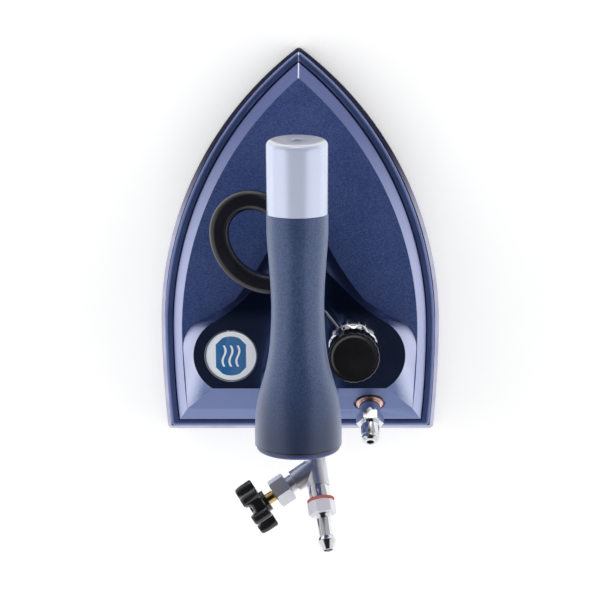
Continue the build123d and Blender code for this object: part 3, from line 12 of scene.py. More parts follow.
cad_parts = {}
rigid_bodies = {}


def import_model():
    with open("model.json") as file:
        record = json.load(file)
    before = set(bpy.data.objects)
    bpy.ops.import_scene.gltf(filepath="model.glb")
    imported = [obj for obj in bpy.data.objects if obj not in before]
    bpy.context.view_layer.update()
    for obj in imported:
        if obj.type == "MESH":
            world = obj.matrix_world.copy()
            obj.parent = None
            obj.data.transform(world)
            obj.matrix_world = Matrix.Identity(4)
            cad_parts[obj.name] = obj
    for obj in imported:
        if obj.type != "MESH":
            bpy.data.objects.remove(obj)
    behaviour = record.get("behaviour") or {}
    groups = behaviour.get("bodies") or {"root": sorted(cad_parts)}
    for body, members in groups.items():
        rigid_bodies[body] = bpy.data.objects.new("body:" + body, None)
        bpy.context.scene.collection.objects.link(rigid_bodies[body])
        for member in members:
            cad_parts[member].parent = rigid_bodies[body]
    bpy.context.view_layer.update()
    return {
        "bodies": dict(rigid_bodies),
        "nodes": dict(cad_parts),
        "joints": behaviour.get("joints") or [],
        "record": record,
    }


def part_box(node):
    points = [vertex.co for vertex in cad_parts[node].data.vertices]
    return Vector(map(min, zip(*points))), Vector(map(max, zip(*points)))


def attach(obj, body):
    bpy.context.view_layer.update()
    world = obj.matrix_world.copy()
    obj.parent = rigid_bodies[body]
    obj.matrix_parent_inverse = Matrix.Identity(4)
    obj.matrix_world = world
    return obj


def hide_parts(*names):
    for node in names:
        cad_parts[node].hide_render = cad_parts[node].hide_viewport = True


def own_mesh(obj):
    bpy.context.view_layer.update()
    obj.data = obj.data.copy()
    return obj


# Dresses the all-steam iron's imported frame: finer pieces, finishes, studio and camera.
# Lengths are in millimetres and become metres only when a mesh is made.
MM = 0.001
log = logging.getLogger("steam_iron")


class Grain(Enum):
    """Surface texture that a finish shows close up."""

    PEEL = "paint_peel"
    HAMMERED = "hammered_flake"
    LEATHER = "leather_grain"
    BRUSHED = "brushed_lines"
    CAST = "cast_skin"


class Body(Enum):
    """Moving bodies of the iron."""

    ROOT = "root"
    LEVER = "thumb_lever"
    PLUNGER = "valve_plunger"
    REGULATOR = "regulator_knob"
    SPINDLE = "needle_spindle"
    HAND_KNOB = "needle_knob"


class Graph:
    """Adds and joins shader nodes in one tree."""

    def __init__(self, tree: bpy.types.NodeTree) -> None:
        """Keeps the tree that the nodes go into."""
        self.tree = tree

    def node(self, kind: str, inputs: dict | None = None, **settings: object) -> bpy.types.Node:
        """Adds a node.

        Args:
            kind: Blender's node type.
            inputs: socket name or index to a constant or to another node's output.
            settings: the node's own properties.

        Returns:
            The new node.
        """
        made = self.tree.nodes.new(kind)
        for key, value in settings.items():
            setattr(made, key, value)
        for key, value in (inputs or {}).items():
            if isinstance(value, bpy.types.NodeSocket):
                self.tree.links.new(value, made.inputs[key])
            else:
                made.inputs[key].default_value = value
        return made

    def math(self, operation: str, first: object, second: object = 0.0, clamp: bool = False) -> bpy.types.NodeSocket:
        """Result of a Math node.

        Args:
            operation: Blender's operation name.
            first: number or socket.
            second: number or socket.
            clamp: whether the result stays in 0 to 1.

        Returns:
            The node's output.
        """
        return self.node("ShaderNodeMath", {0: first, 1: second}, operation=operation, use_clamp=clamp).outputs[0]

    def ramp(self, value: object, low: float, high: float, to_low: float = 0.0, to_high: float = 1.0) -> bpy.types.NodeSocket:
        """Smooth step of a value from low..high to to_low..to_high.

        Args:
            value: number or socket.
            low: value at which the step starts.
            high: value at which it ends.
            to_low: result at and below low.
            to_high: result at and above high.

        Returns:
            The node's output.
        """
        made = self.node(
            "ShaderNodeMapRange",
            {"Value": value, "From Min": low, "From Max": high, "To Min": to_low, "To Max": to_high},
            interpolation_type="SMOOTHSTEP",
        )
        return made.outputs["Result"]

    def mix(self, share: object, first: object, second: object) -> bpy.types.NodeSocket:
        """Colour between two colours.

        Args:
            share: 0 gives first and 1 second.
            first: colour or socket.
            second: colour or socket.

        Returns:
            The mixed colour's output.
        """
        made = self.node("ShaderNodeMix", data_type="RGBA", clamp_factor=True)
        for index, value in ((0, share), (6, first), (7, second)):
            if isinstance(value, bpy.types.NodeSocket):
                self.tree.links.new(value, made.inputs[index])
            else:
                made.inputs[index].default_value = value
        return made.outputs[2]


class Effects:
    """Node groups that several finishes share. Each puts out only masks and heights."""

    def __init__(self) -> None:
        """Builds every group once."""
        self.groups = {
            Grain.PEEL: self.paint_peel(),
            Grain.HAMMERED: self.hammered_flake(),
            Grain.LEATHER: self.leather_grain(),
            Grain.BRUSHED: self.brushed_lines(),
            Grain.CAST: self.cast_skin(),
        }
        self.handling = self.handling_marks()
        self.slopes = self.facing_slopes()
        self.mitre = self.painted_mitre_highlight()

    @staticmethod
    def empty_group(name: str, outputs: tuple[str, ...]) -> tuple[Graph, bpy.types.Node, bpy.types.Node]:
        """Group with a vector and a size coming in.

        Args:
            name: the group's name.
            outputs: names of the values that it puts out.

        Returns:
            The graph, the group's input node and its output node.
        """
        tree = bpy.data.node_groups.new(name, "ShaderNodeTree")
        tree.interface.new_socket("Vector", in_out="INPUT", socket_type="NodeSocketVector")
        tree.interface.new_socket("Scale", in_out="INPUT", socket_type="NodeSocketFloat")
        for output in outputs:
            tree.interface.new_socket(output, in_out="OUTPUT", socket_type="NodeSocketFloat")
        graph = Graph(tree)
        return graph, graph.node("NodeGroupInput"), graph.node("NodeGroupOutput")

    def paint_peel(self) -> bpy.types.NodeTree:
        """Sprayed enamel: low swells of two sizes and faint tone clouds."""
        graph, entry, leave = self.empty_group(Grain.PEEL.value, ("Shade", "Height"))
        swell = graph.node("ShaderNodeTexNoise", {"Vector": entry.outputs[0], "Scale": entry.outputs[1], "Detail": 1.0})
        wide = graph.math("MULTIPLY", entry.outputs[1], 0.12)
        cloud = graph.node("ShaderNodeTexNoise", {"Vector": entry.outputs[0], "Scale": wide, "Detail": 4.0})
        graph.tree.links.new(graph.ramp(cloud.outputs[0], 0.3, 0.7), leave.inputs["Shade"])
        graph.tree.links.new(swell.outputs[0], leave.inputs["Height"])
        return graph.tree

    def hammered_flake(self) -> bpy.types.NodeTree:
        """Hammer-tone paint: small dimples with a lighter rim, and single bright and dark flakes."""
        graph, entry, leave = self.empty_group(Grain.HAMMERED.value, ("Shade", "Height"))
        bend = graph.node("ShaderNodeTexNoise", {"Vector": entry.outputs[0], "Scale": entry.outputs[1], "Detail": 2.0})
        cell = graph.node(
            "ShaderNodeTexVoronoi",
            {"Vector": entry.outputs[0], "Scale": entry.outputs[1], "Randomness": 1.0},
            feature="F1",
        )
        tone = graph.node("ShaderNodeSeparateColor", {"Color": cell.outputs["Color"]})
        fleck = graph.math("MULTIPLY_ADD", tone.outputs[0], 0.55)
        fleck.node.inputs[2].default_value = 0.0
        grains = graph.math("ADD", fleck, graph.ramp(bend.outputs[0], 0.35, 0.68, 0.0, 0.45))
        dimple = graph.ramp(cell.outputs["Distance"], 0.05, 0.62)
        graph.tree.links.new(grains, leave.inputs["Shade"])
        graph.tree.links.new(graph.math("ADD", dimple, graph.math("MULTIPLY", bend.outputs[0], 0.6)), leave.inputs["Height"])
        return graph.tree

    def leather_grain(self) -> bpy.types.NodeTree:
        """Moulded leather grain: rounded pebbles of uneven size with fine creases between them."""
        graph, entry, leave = self.empty_group(Grain.LEATHER.value, ("Shade", "Height"))
        warp = graph.node("ShaderNodeTexNoise", {"Vector": entry.outputs[0], "Scale": entry.outputs[1], "Detail": 3.0})
        push = graph.node("ShaderNodeVectorMath", {0: warp.outputs["Color"]}, operation="SCALE")
        push.inputs["Scale"].default_value = 0.0012
        moved = graph.node("ShaderNodeVectorMath", {0: entry.outputs[0], 1: push.outputs[0]}, operation="ADD")
        pebble = graph.node(
            "ShaderNodeTexVoronoi",
            {"Vector": moved.outputs[0], "Scale": entry.outputs[1], "Smoothness": 0.6},
            feature="SMOOTH_F1",
        )
        round_top = graph.ramp(pebble.outputs["Distance"], 0.1, 0.75, 1.0, 0.0)
        fine = graph.math("MULTIPLY", warp.outputs[0], 0.5)
        graph.tree.links.new(graph.ramp(pebble.outputs["Distance"], 0.2, 0.7), leave.inputs["Shade"])
        graph.tree.links.new(graph.math("ADD", round_top, fine), leave.inputs["Height"])
        return graph.tree

    def brushed_lines(self) -> bpy.types.NodeTree:
        """Buffed metal: long fine lines along Y and across it, over slow waves of the buffing wheel."""
        graph, entry, leave = self.empty_group(Grain.BRUSHED.value, ("Shade", "Height"))
        drawn = graph.node("ShaderNodeMapping", {"Vector": entry.outputs[0], "Scale": (1.0, 0.06, 1.0)})
        lines = graph.node("ShaderNodeTexNoise", {"Vector": drawn.outputs[0], "Scale": entry.outputs[1], "Detail": 3.0})
        wide = graph.math("MULTIPLY", entry.outputs[1], 0.04)
        wave = graph.node("ShaderNodeTexNoise", {"Vector": entry.outputs[0], "Scale": wide, "Detail": 1.0})
        graph.tree.links.new(graph.ramp(wave.outputs[0], 0.3, 0.7), leave.inputs["Shade"])
        graph.tree.links.new(lines.outputs[0], leave.inputs["Height"])
        return graph.tree

    def cast_skin(self) -> bpy.types.NodeTree:
        """Cast, moulded or pressed skin: sand grain with a few shallow pits."""
        graph, entry, leave = self.empty_group(Grain.CAST.value, ("Shade", "Height"))
        sand = graph.node("ShaderNodeTexNoise", {"Vector": entry.outputs[0], "Scale": entry.outputs[1], "Detail": 5.0})
        rare = graph.math("MULTIPLY", entry.outputs[1], 0.35)
        pit = graph.node("ShaderNodeTexVoronoi", {"Vector": entry.outputs[0], "Scale": rare}, feature="F1")
        hollow = graph.ramp(pit.outputs["Distance"], 0.02, 0.25)
        graph.tree.links.new(graph.ramp(sand.outputs[0], 0.3, 0.7), leave.inputs["Shade"])
        graph.tree.links.new(graph.math("MULTIPLY", sand.outputs[0], hollow), leave.inputs["Height"])
        return graph.tree

    def handling_marks(self) -> bpy.types.NodeTree:
        """Use: soft smudges and short thin rubs, as one mask."""
        graph, entry, leave = self.empty_group("handling_marks", ("Mask",))
        smudge = graph.node("ShaderNodeTexNoise", {"Vector": entry.outputs[0], "Scale": entry.outputs[1], "Detail": 4.0, "Distortion": 0.6})
        turned = graph.node("ShaderNodeMapping", {"Vector": entry.outputs[0], "Rotation": (0.2, 0.4, 0.6), "Scale": (9.0, 0.7, 1.0)})
        rub = graph.node("ShaderNodeTexNoise", {"Vector": turned.outputs[0], "Scale": entry.outputs[1], "Detail": 5.0})
        rubs = graph.ramp(rub.outputs[0], 0.62, 0.74, 0.0, 0.5)
        mask = graph.math("ADD", graph.ramp(smudge.outputs[0], 0.35, 0.72, 0.0, 0.8), rubs, clamp=True)
        graph.tree.links.new(mask, leave.inputs["Mask"])
        return graph.tree

    def painted_mitre_highlight(self) -> bpy.types.NodeTree:
        """Mask of the mitre at the tip, where a painted highlight goes: |x| under half the width, ahead of a place."""
        graph, entry, leave = self.empty_group("painted_mitre_highlight", ("Mask",))
        split = graph.node("ShaderNodeSeparateXYZ", {"Vector": entry.outputs[0]})
        line = graph.ramp(graph.math("ABSOLUTE", split.outputs["X"]), 0.15 * MM, 0.5 * MM, 1.0, 0.0)
        ahead = graph.ramp(split.outputs["Y"], 88 * MM, 92 * MM)
        graph.tree.links.new(graph.math("MULTIPLY", line, ahead), leave.inputs["Mask"])
        return graph.tree

    def facing_slopes(self) -> bpy.types.NodeTree:
        """Masks of the slopes that face the rear and of those that face a side, from the piece's own normals, where
        finishes paint light and shade.
        """
        graph, entry, leave = self.empty_group("facing_slopes", ("Rear", "Side"))
        split = graph.node("ShaderNodeSeparateXYZ", {"Vector": entry.outputs[0]})
        graph.tree.links.new(graph.ramp(split.outputs["Y"], -0.6, -0.35, 1.0, 0.0), leave.inputs["Rear"])
        aside = graph.math("ABSOLUTE", split.outputs["X"])
        graph.tree.links.new(graph.ramp(aside, 0.4, 0.82), leave.inputs["Side"])
        return graph.tree


@dataclass(frozen=True)
class Finish:
    """One finish of the iron.

    name: the record's material slot.
    colour: main colour, linear.
    other: colour of flakes, creases or clouds, linear.
    worn: colour where hands and cloth rub, linear.
    metallic: share of metal.
    rough: roughness of the clean surface.
    rough_worn: roughness where hands rub or smudge it.
    grain: texture seen close up.
    grain_size: size of one grain in millimetres.
    grain_depth: depth of the grain in millimetres.
    wear: how much of the worn colour shows.
    coat: clear coat's weight.
    coat_rough: clear coat's roughness.
    """

    name: str
    colour: tuple[float, float, float]
    other: tuple[float, float, float]
    worn: tuple[float, float, float]
    metallic: float = 0.0
    rough: float = 0.4
    rough_worn: float = 0.5
    grain: Grain = Grain.PEEL
    grain_size: float = 1.5
    grain_depth: float = 0.01
    wear: float = 0.15
    coat: float = 0.0
    coat_rough: float = 0.08

    def surface_colour(self, graph: Graph, shade: object, coordinates: object) -> bpy.types.NodeSocket:
        """Colour before wear: the main colour with the grain's other colour.

        Args:
            graph: the material's nodes.
            shade: the grain's mask.
            coordinates: object coordinates, for finishes that paint by place.

        Returns:
            The colour's output.
        """
        return graph.mix(shade, (*self.colour, 1.0), (*self.other, 1.0))

    def depth_share(self, graph: Graph, coordinates: object) -> bpy.types.NodeSocket | None:
        """Share of the grain's depth at each place, or None for the same everywhere."""
        return None

    def place_changes(self, graph: Graph, effects: Effects, coordinates: object, inputs: dict) -> None:
        """Changes the shader's inputs by place or slope; a plain finish has none."""

    def material(self, effects: Effects) -> bpy.types.Material:
        """Builds the finish's material.

        Args:
            effects: the shared node groups.

        Returns:
            The material.
        """
        made = bpy.data.materials.new(self.name)
        made.use_nodes = True
        made.node_tree.nodes.clear()
        graph = Graph(made.node_tree)
        place = graph.node("ShaderNodeTexCoord").outputs["Object"]
        grain = graph.node("ShaderNodeGroup", node_tree=effects.groups[self.grain])
        marks = graph.node("ShaderNodeGroup", node_tree=effects.handling)
        for group, scale in ((grain, 1 / (self.grain_size * MM)), (marks, 1 / (26 * MM))):
            graph.tree.links.new(place, group.inputs["Vector"])
            group.inputs["Scale"].default_value = scale
        painted = self.surface_colour(graph, grain.outputs["Shade"], place)
        wear_and_highlight = graph.math("MULTIPLY", marks.outputs["Mask"], self.wear)
        height = grain.outputs["Height"]
        share = self.depth_share(graph, place)
        if share is not None:
            height = graph.math("MULTIPLY", height, share)
        bump = graph.node("ShaderNodeBump", {"Height": height, "Strength": 1.0, "Distance": self.grain_depth * MM})
        inputs = {
            "Base Color": graph.mix(wear_and_highlight, painted, (*self.worn, 1.0)),
            "Roughness": graph.ramp(marks.outputs["Mask"], 0.0, 1.0, self.rough, self.rough_worn),
            "Metallic": self.metallic,
            "Coat Weight": self.coat,
            "Coat Roughness": self.coat_rough,
            "Normal": bump.outputs["Normal"],
        }
        self.place_changes(graph, effects, place, inputs)
        shader = graph.node("ShaderNodeBsdfPrincipled", inputs)
        leave = graph.node("ShaderNodeOutputMaterial")
        graph.tree.links.new(shader.outputs[0], leave.inputs["Surface"])
        return made


@dataclass(frozen=True)
class CastingFinish(Finish):
    """Glossy metallic enamel, dull where the casting slopes down to the rear or to a side, with painted light on the
    slopes and painted shade beside and under the handle.

    slope: painted light on the rear slope, as its colour, linear.
    flank_painted_highlight: painted highlight on the side slopes, as their colour, linear.
    wall: painted shade on the steep walls beside the handle, as their colour, linear.
    reach: distance from the middle in millimetres from which side slopes carry the painted highlight.
    slope_rough: roughness of the slopes.
    slope_metal: share of metal flake that shows on them.
    prow: painted shade on the ramp under the handle, as its colour, linear.
    prow_from: place along Y in millimetres where the ramp's painted shade starts.
    prow_to: place where it is full.
    prow_dull: share of the coat that is missing there.
    """

    slope: tuple[float, float, float] = (0.165, 0.215, 0.42)
    flank_painted_highlight: tuple[float, float, float] = (0.6, 0.64, 0.86)
    wall: tuple[float, float, float] = (0.01, 0.017, 0.05)
    reach: float = 42.0
    slope_rough: float = 0.5
    slope_metal: float = 0.75
    prow: tuple[float, float, float] = (0.024, 0.042, 0.12)
    prow_from: float = -42.0
    prow_to: float = -30.0
    prow_dull: float = 0.8

    @staticmethod
    def slope_masks(graph: Graph, effects: Effects) -> bpy.types.Node:
        """Adds the slopes' group, fed with the piece's own normals."""
        group = graph.node("ShaderNodeGroup", node_tree=effects.slopes)
        graph.tree.links.new(graph.node("ShaderNodeTexCoord").outputs["Normal"], group.inputs["Vector"])
        return group

    def place_changes(self, graph: Graph, effects: Effects, coordinates: object, inputs: dict) -> None:
        """Slopes: painted light as their colour, their own roughness and flake, and no coat; painted shade on the walls
        and on the ramp under the handle.

        Side slopes take the painted highlight as far as the lobes reach out, from |x| = reach on.
        """
        masks = self.slope_masks(graph, effects)
        split = graph.node("ShaderNodeSeparateXYZ", {"Vector": coordinates})
        outer = graph.ramp(graph.math("ABSOLUTE", split.outputs["X"]), self.reach * MM, (self.reach + 9.0) * MM)
        rear, steep = masks.outputs["Rear"], masks.outputs["Side"]
        side = graph.math("MULTIPLY", steep, outer)
        inner = graph.math("SUBTRACT", steep, side)
        either = graph.math("MAXIMUM", rear, side)
        ahead = graph.ramp(split.outputs["Y"], self.prow_from * MM, self.prow_to * MM)
        # Painted shade on the ramp under the handle and on the walls beside it, painted highlight on the side slopes,
        # painted light on the rear slope.
        prow_shaded = graph.mix(ahead, inputs["Base Color"], (*self.prow, 1.0))
        wall_shaded = graph.mix(inner, prow_shaded, (*self.wall, 1.0))
        flank_lit = graph.mix(side, wall_shaded, (*self.flank_painted_highlight, 1.0))
        dull = graph.math("MAXIMUM", rear, steep)
        inputs["Base Color"] = graph.mix(rear, flank_lit, (*self.slope, 1.0))
        inputs["Roughness"] = graph.ramp(dull, 0.0, 1.0, self.rough, self.slope_rough)
        inputs["Metallic"] = graph.ramp(either, 0.0, 1.0, self.metallic, self.slope_metal)
        uncoated = graph.math("MAXIMUM", dull, graph.math("MULTIPLY", ahead, self.prow_dull))
        inputs["Coat Weight"] = graph.ramp(uncoated, 0.0, 1.0, self.coat, 0.0)


@dataclass(frozen=True)
class CoverFinish(CastingFinish):
    """Hammer-tone plate inside a smooth sloped band whose lighter colour is painted light.

    band: painted light on the sloped band beside the saddle, as its colour, linear.
    band_tip_painted_light: the band's painted light towards the tip, dimmer there, linear.
    mitre_painted_highlight: painted highlight on the mitre, as its colour, linear.
    band_metal: share of metal flake that shows on it.
    band_rough: the band's roughness.
    plate_height: height of the flat plate in millimetres.
    """

    band: tuple[float, float, float] = (0.46, 0.5, 0.74)
    band_tip_painted_light: tuple[float, float, float] = (0.1, 0.128, 0.3)
    mitre_painted_highlight: tuple[float, float, float] = (0.9, 0.92, 0.97)
    band_metal: float = 0.85
    band_rough: float = 0.28
    plate_height: float = 29.5

    def flat_share(self, graph: Graph, coordinates: object) -> bpy.types.NodeSocket:
        """1 on the flat plate and 0 on the band below it, by height."""
        split = graph.node("ShaderNodeSeparateXYZ", {"Vector": coordinates})
        return graph.ramp(split.outputs["Z"], (self.plate_height - 0.32) * MM, (self.plate_height - 0.12) * MM)

    def surface_colour(self, graph: Graph, shade: object, coordinates: object) -> bpy.types.NodeSocket:
        """Flakes on the plate; on the band, painted light that dims towards the tip, with faint clouds."""
        flakes = graph.mix(shade, (*self.colour, 1.0), (*self.other, 1.0))
        faint = graph.math("MULTIPLY", shade, 0.08)
        split = graph.node("ShaderNodeSeparateXYZ", {"Vector": coordinates})
        ahead = graph.ramp(split.outputs["Y"], -30 * MM, 80 * MM)
        # Painted light on the band, dimmer towards the tip.
        band = graph.mix(ahead, (*self.band, 1.0), (*self.band_tip_painted_light, 1.0))
        band = graph.mix(faint, band, (*self.worn, 1.0))
        return graph.mix(self.flat_share(graph, coordinates), band, flakes)

    def depth_share(self, graph: Graph, coordinates: object) -> bpy.types.NodeSocket:
        """Full depth on the plate and almost none on the band."""
        return graph.math("MAXIMUM", self.flat_share(graph, coordinates), 0.06)

    def place_changes(self, graph: Graph, effects: Effects, coordinates: object, inputs: dict) -> None:
        """Band's flake and gloss, a painted highlight on its mitre, and the rear slope's painted light on the band's
        rear part.
        """
        flat = self.flat_share(graph, coordinates)
        rear = self.slope_masks(graph, effects).outputs["Rear"]
        mitre = graph.node("ShaderNodeGroup", {"Vector": coordinates}, node_tree=effects.mitre)
        # Painted highlight along the mitre, on the band only.
        wear_and_highlight = graph.math("MULTIPLY", mitre.outputs["Mask"], graph.math("SUBTRACT", 1.0, flat))
        inputs["Base Color"] = graph.mix(wear_and_highlight, inputs["Base Color"], (*self.mitre_painted_highlight, 1.0))
        inputs["Metallic"] = graph.ramp(flat, 0.0, 1.0, self.band_metal, self.metallic)
        inputs["Roughness"] = graph.ramp(flat, 0.0, 1.0, self.band_rough, self.rough)
        # Painted light of the rear slope on the band's rear part.
        inputs["Base Color"] = graph.mix(rear, inputs["Base Color"], (*self.slope, 1.0))


@dataclass(frozen=True)
class SoleFinish(Finish):
    """Buffed sole with a painted dark reflection towards the tip.

    tip_painted_reflection: painted dark reflection at the tip, as its colour, linear.
    tint_from: place along Y in millimetres where the painted reflection starts.
    tint_to: place where it is full.
    """

    tip_painted_reflection: tuple[float, float, float] = (0.035, 0.035, 0.075)
    tint_from: float = 0.0
    tint_to: float = 60.0

    def place_changes(self, graph: Graph, effects: Effects, coordinates: object, inputs: dict) -> None:
        """Painted dark reflection by place along the sole."""
        split = graph.node("ShaderNodeSeparateXYZ", {"Vector": coordinates})
        # Painted dark reflection, full at the tip.
        share = graph.ramp(split.outputs["Y"], self.tint_from * MM, self.tint_to * MM)
        inputs["Base Color"] = graph.mix(share, inputs["Base Color"], (*self.tip_painted_reflection, 1.0))


@dataclass(frozen=True)
class SkirtFinish(Finish):
    """Glossy metallic enamel with a painted highlight on the tip's edge.

    mitre_painted_highlight: colour of the painted highlight on the edge, linear.
    """

    mitre_painted_highlight: tuple[float, float, float] = (0.85, 0.87, 0.95)

    def place_changes(self, graph: Graph, effects: Effects, coordinates: object, inputs: dict) -> None:
        """Painted highlight on the edge at the tip."""
        mitre = graph.node("ShaderNodeGroup", {"Vector": coordinates}, node_tree=effects.mitre)
        # Painted highlight along the tip's edge.
        inputs["Base Color"] = graph.mix(mitre.outputs["Mask"], inputs["Base Color"], (*self.mitre_painted_highlight, 1.0))


@dataclass(frozen=True)
class GripFinish(Finish):
    """Leather grain with a soft sheen, painted shade towards the grip's rear, and a dark seam at its end.

    sheen: weight of the sheen.
    sheen_rough: the sheen's roughness.
    sheen_tint: the sheen's colour, linear.
    rear: painted shade at the rear, as its colour, linear.
    rear_from: place along Y in millimetres where the painted shade starts.
    rear_to: place where it is full.
    seam: colour of the seam, linear.
    seam_at: place of the grip's rear end along Y in millimetres.
    seam_width: width of the seam.
    """

    sheen: float = 1.0
    sheen_rough: float = 0.36
    sheen_tint: tuple[float, float, float] = (0.6, 0.7, 1.0)
    rear: tuple[float, float, float] = (0.016, 0.03, 0.085)
    rear_from: float = -55.0
    rear_to: float = -93.0
    seam: tuple[float, float, float] = (0.003, 0.004, 0.012)
    seam_at: float = -95.8
    seam_width: float = 0.9

    def place_changes(self, graph: Graph, effects: Effects, coordinates: object, inputs: dict) -> None:
        """Painted shade at the rear and the dark seam by place along the grip, and the sheen."""
        along = graph.node("ShaderNodeSeparateXYZ", {"Vector": coordinates}).outputs["Y"]
        share = graph.ramp(along, self.rear_to * MM, self.rear_from * MM, 1.0, 0.0)
        seam = graph.ramp(along, (self.seam_at + self.seam_width) * MM, (self.seam_at + self.seam_width + 0.2) * MM, 1.0, 0.0)
        # Painted shade towards the grip's rear.
        rear_shaded = graph.mix(share, inputs["Base Color"], (*self.rear, 1.0))
        inputs["Base Color"] = graph.mix(seam, rear_shaded, (*self.seam, 1.0))
        inputs["Sheen Weight"] = graph.ramp(seam, 0.0, 1.0, self.sheen, 0.0)
        inputs["Sheen Roughness"] = self.sheen_rough
        inputs["Sheen Tint"] = (*self.sheen_tint, 1.0)


@dataclass(frozen=True)
class CapFinish(Finish):
    """Pale glossy moulding with painted light on its front face.

    face: painted light on the front face, as its colour, linear.
    face_metal: share of metal flake that shows on it.
    """

    face: tuple[float, float, float] = (0.78, 0.79, 0.85)
    face_metal: float = 0.05

    def place_changes(self, graph: Graph, effects: Effects, coordinates: object, inputs: dict) -> None:
        """Painted light on the face by the piece's own normals: all of it where they point ahead."""
        facing = graph.node("ShaderNodeTexCoord").outputs["Normal"]
        ahead = graph.node("ShaderNodeSeparateXYZ", {"Vector": facing}).outputs["Y"]
        share = graph.ramp(ahead, 0.7, 0.95)
        # Painted light on the front face.
        inputs["Base Color"] = graph.mix(share, inputs["Base Color"], (*self.face, 1.0))
        inputs["Metallic"] = graph.ramp(share, 0.0, 1.0, self.metallic, self.face_metal)


@dataclass(frozen=True)
class BadgeFinish(Finish):
    """White enamel with a blue field that carries three white plumes of steam.

    ink: colour of the field, linear.
    centre: middle of the badge in millimetres.
    circle: radius inside which the field lies.
    field_half: half width of the field.
    field_cut: how far the field's corners are cut, along the sum of both distances.
    line: width of the plumes.
    plume_gap: distance between the plumes.
    plume_half_length: half length of a plume.
    plume_swing: how far a plume swings to each side.
    """

    ink: tuple[float, float, float] = (0.016, 0.13, 0.34)
    centre: tuple[float, float] = (-39.5, -59.5)
    circle: float = 11.7
    field_half: float = 8.8
    field_cut: float = 15.6
    line: float = 1.1
    plume_gap: float = 4.0
    plume_half_length: float = 6.2
    plume_swing: float = 0.9

    def surface_colour(self, graph: Graph, shade: object, coordinates: object) -> bpy.types.NodeSocket:
        """Enamel with the print.

        The field is r < circle, |x| < half width and |x| + |y| < cut, by the smallest of the three
        margins. A plume is |x - swing sin y| < line/2, repeated at the gap.
        """
        middle = (-self.centre[0] * MM, -self.centre[1] * MM, 0.0)
        local = graph.node("ShaderNodeVectorMath", {0: coordinates, 1: middle}, operation="ADD")
        split = graph.node("ShaderNodeSeparateXYZ", {"Vector": local.outputs[0]})
        across, along = split.outputs["X"], split.outputs["Y"]
        wide, long = graph.math("ABSOLUTE", across), graph.math("ABSOLUTE", along)
        reach = graph.math("SQRT", graph.math("ADD", graph.math("MULTIPLY", across, across), graph.math("MULTIPLY", along, along)))
        soft = 0.12 * MM
        margin = graph.math("SUBTRACT", self.field_half * MM, wide)
        margin = graph.math("MINIMUM", margin, graph.math("SUBTRACT", self.circle * MM, reach))
        margin = graph.math("MINIMUM", margin, graph.math("SUBTRACT", self.field_cut * MM, graph.math("ADD", wide, long)))
        field = graph.ramp(margin, 0.0, soft)
        wave = graph.math("SINE", graph.math("MULTIPLY", along, pi / (self.plume_half_length * MM)))
        bent = graph.math("SUBTRACT", across, graph.math("MULTIPLY", wave, self.plume_swing * MM))
        lane = graph.math("PINGPONG", graph.math("ADD", bent, self.plume_gap * MM * 4), self.plume_gap * MM / 2)
        plume = graph.ramp(lane, self.line * MM / 2, self.line * MM / 2 + soft, 1.0, 0.0)
        inside = graph.ramp(long, self.plume_half_length * MM, self.plume_half_length * MM + soft, 1.0, 0.0)
        middle_three = graph.ramp(graph.math("ABSOLUTE", bent), self.plume_gap * MM * 1.45, self.plume_gap * MM * 1.5, 1.0, 0.0)
        plumes = graph.math("MULTIPLY", plume, graph.math("MULTIPLY", inside, middle_three))
        print_share = graph.math("MULTIPLY", field, graph.math("SUBTRACT", 1.0, plumes))
        enamel = graph.mix(graph.math("MULTIPLY", shade, 0.25), (*self.colour, 1.0), (*self.other, 1.0))
        return graph.mix(print_share, enamel, (*self.ink, 1.0))


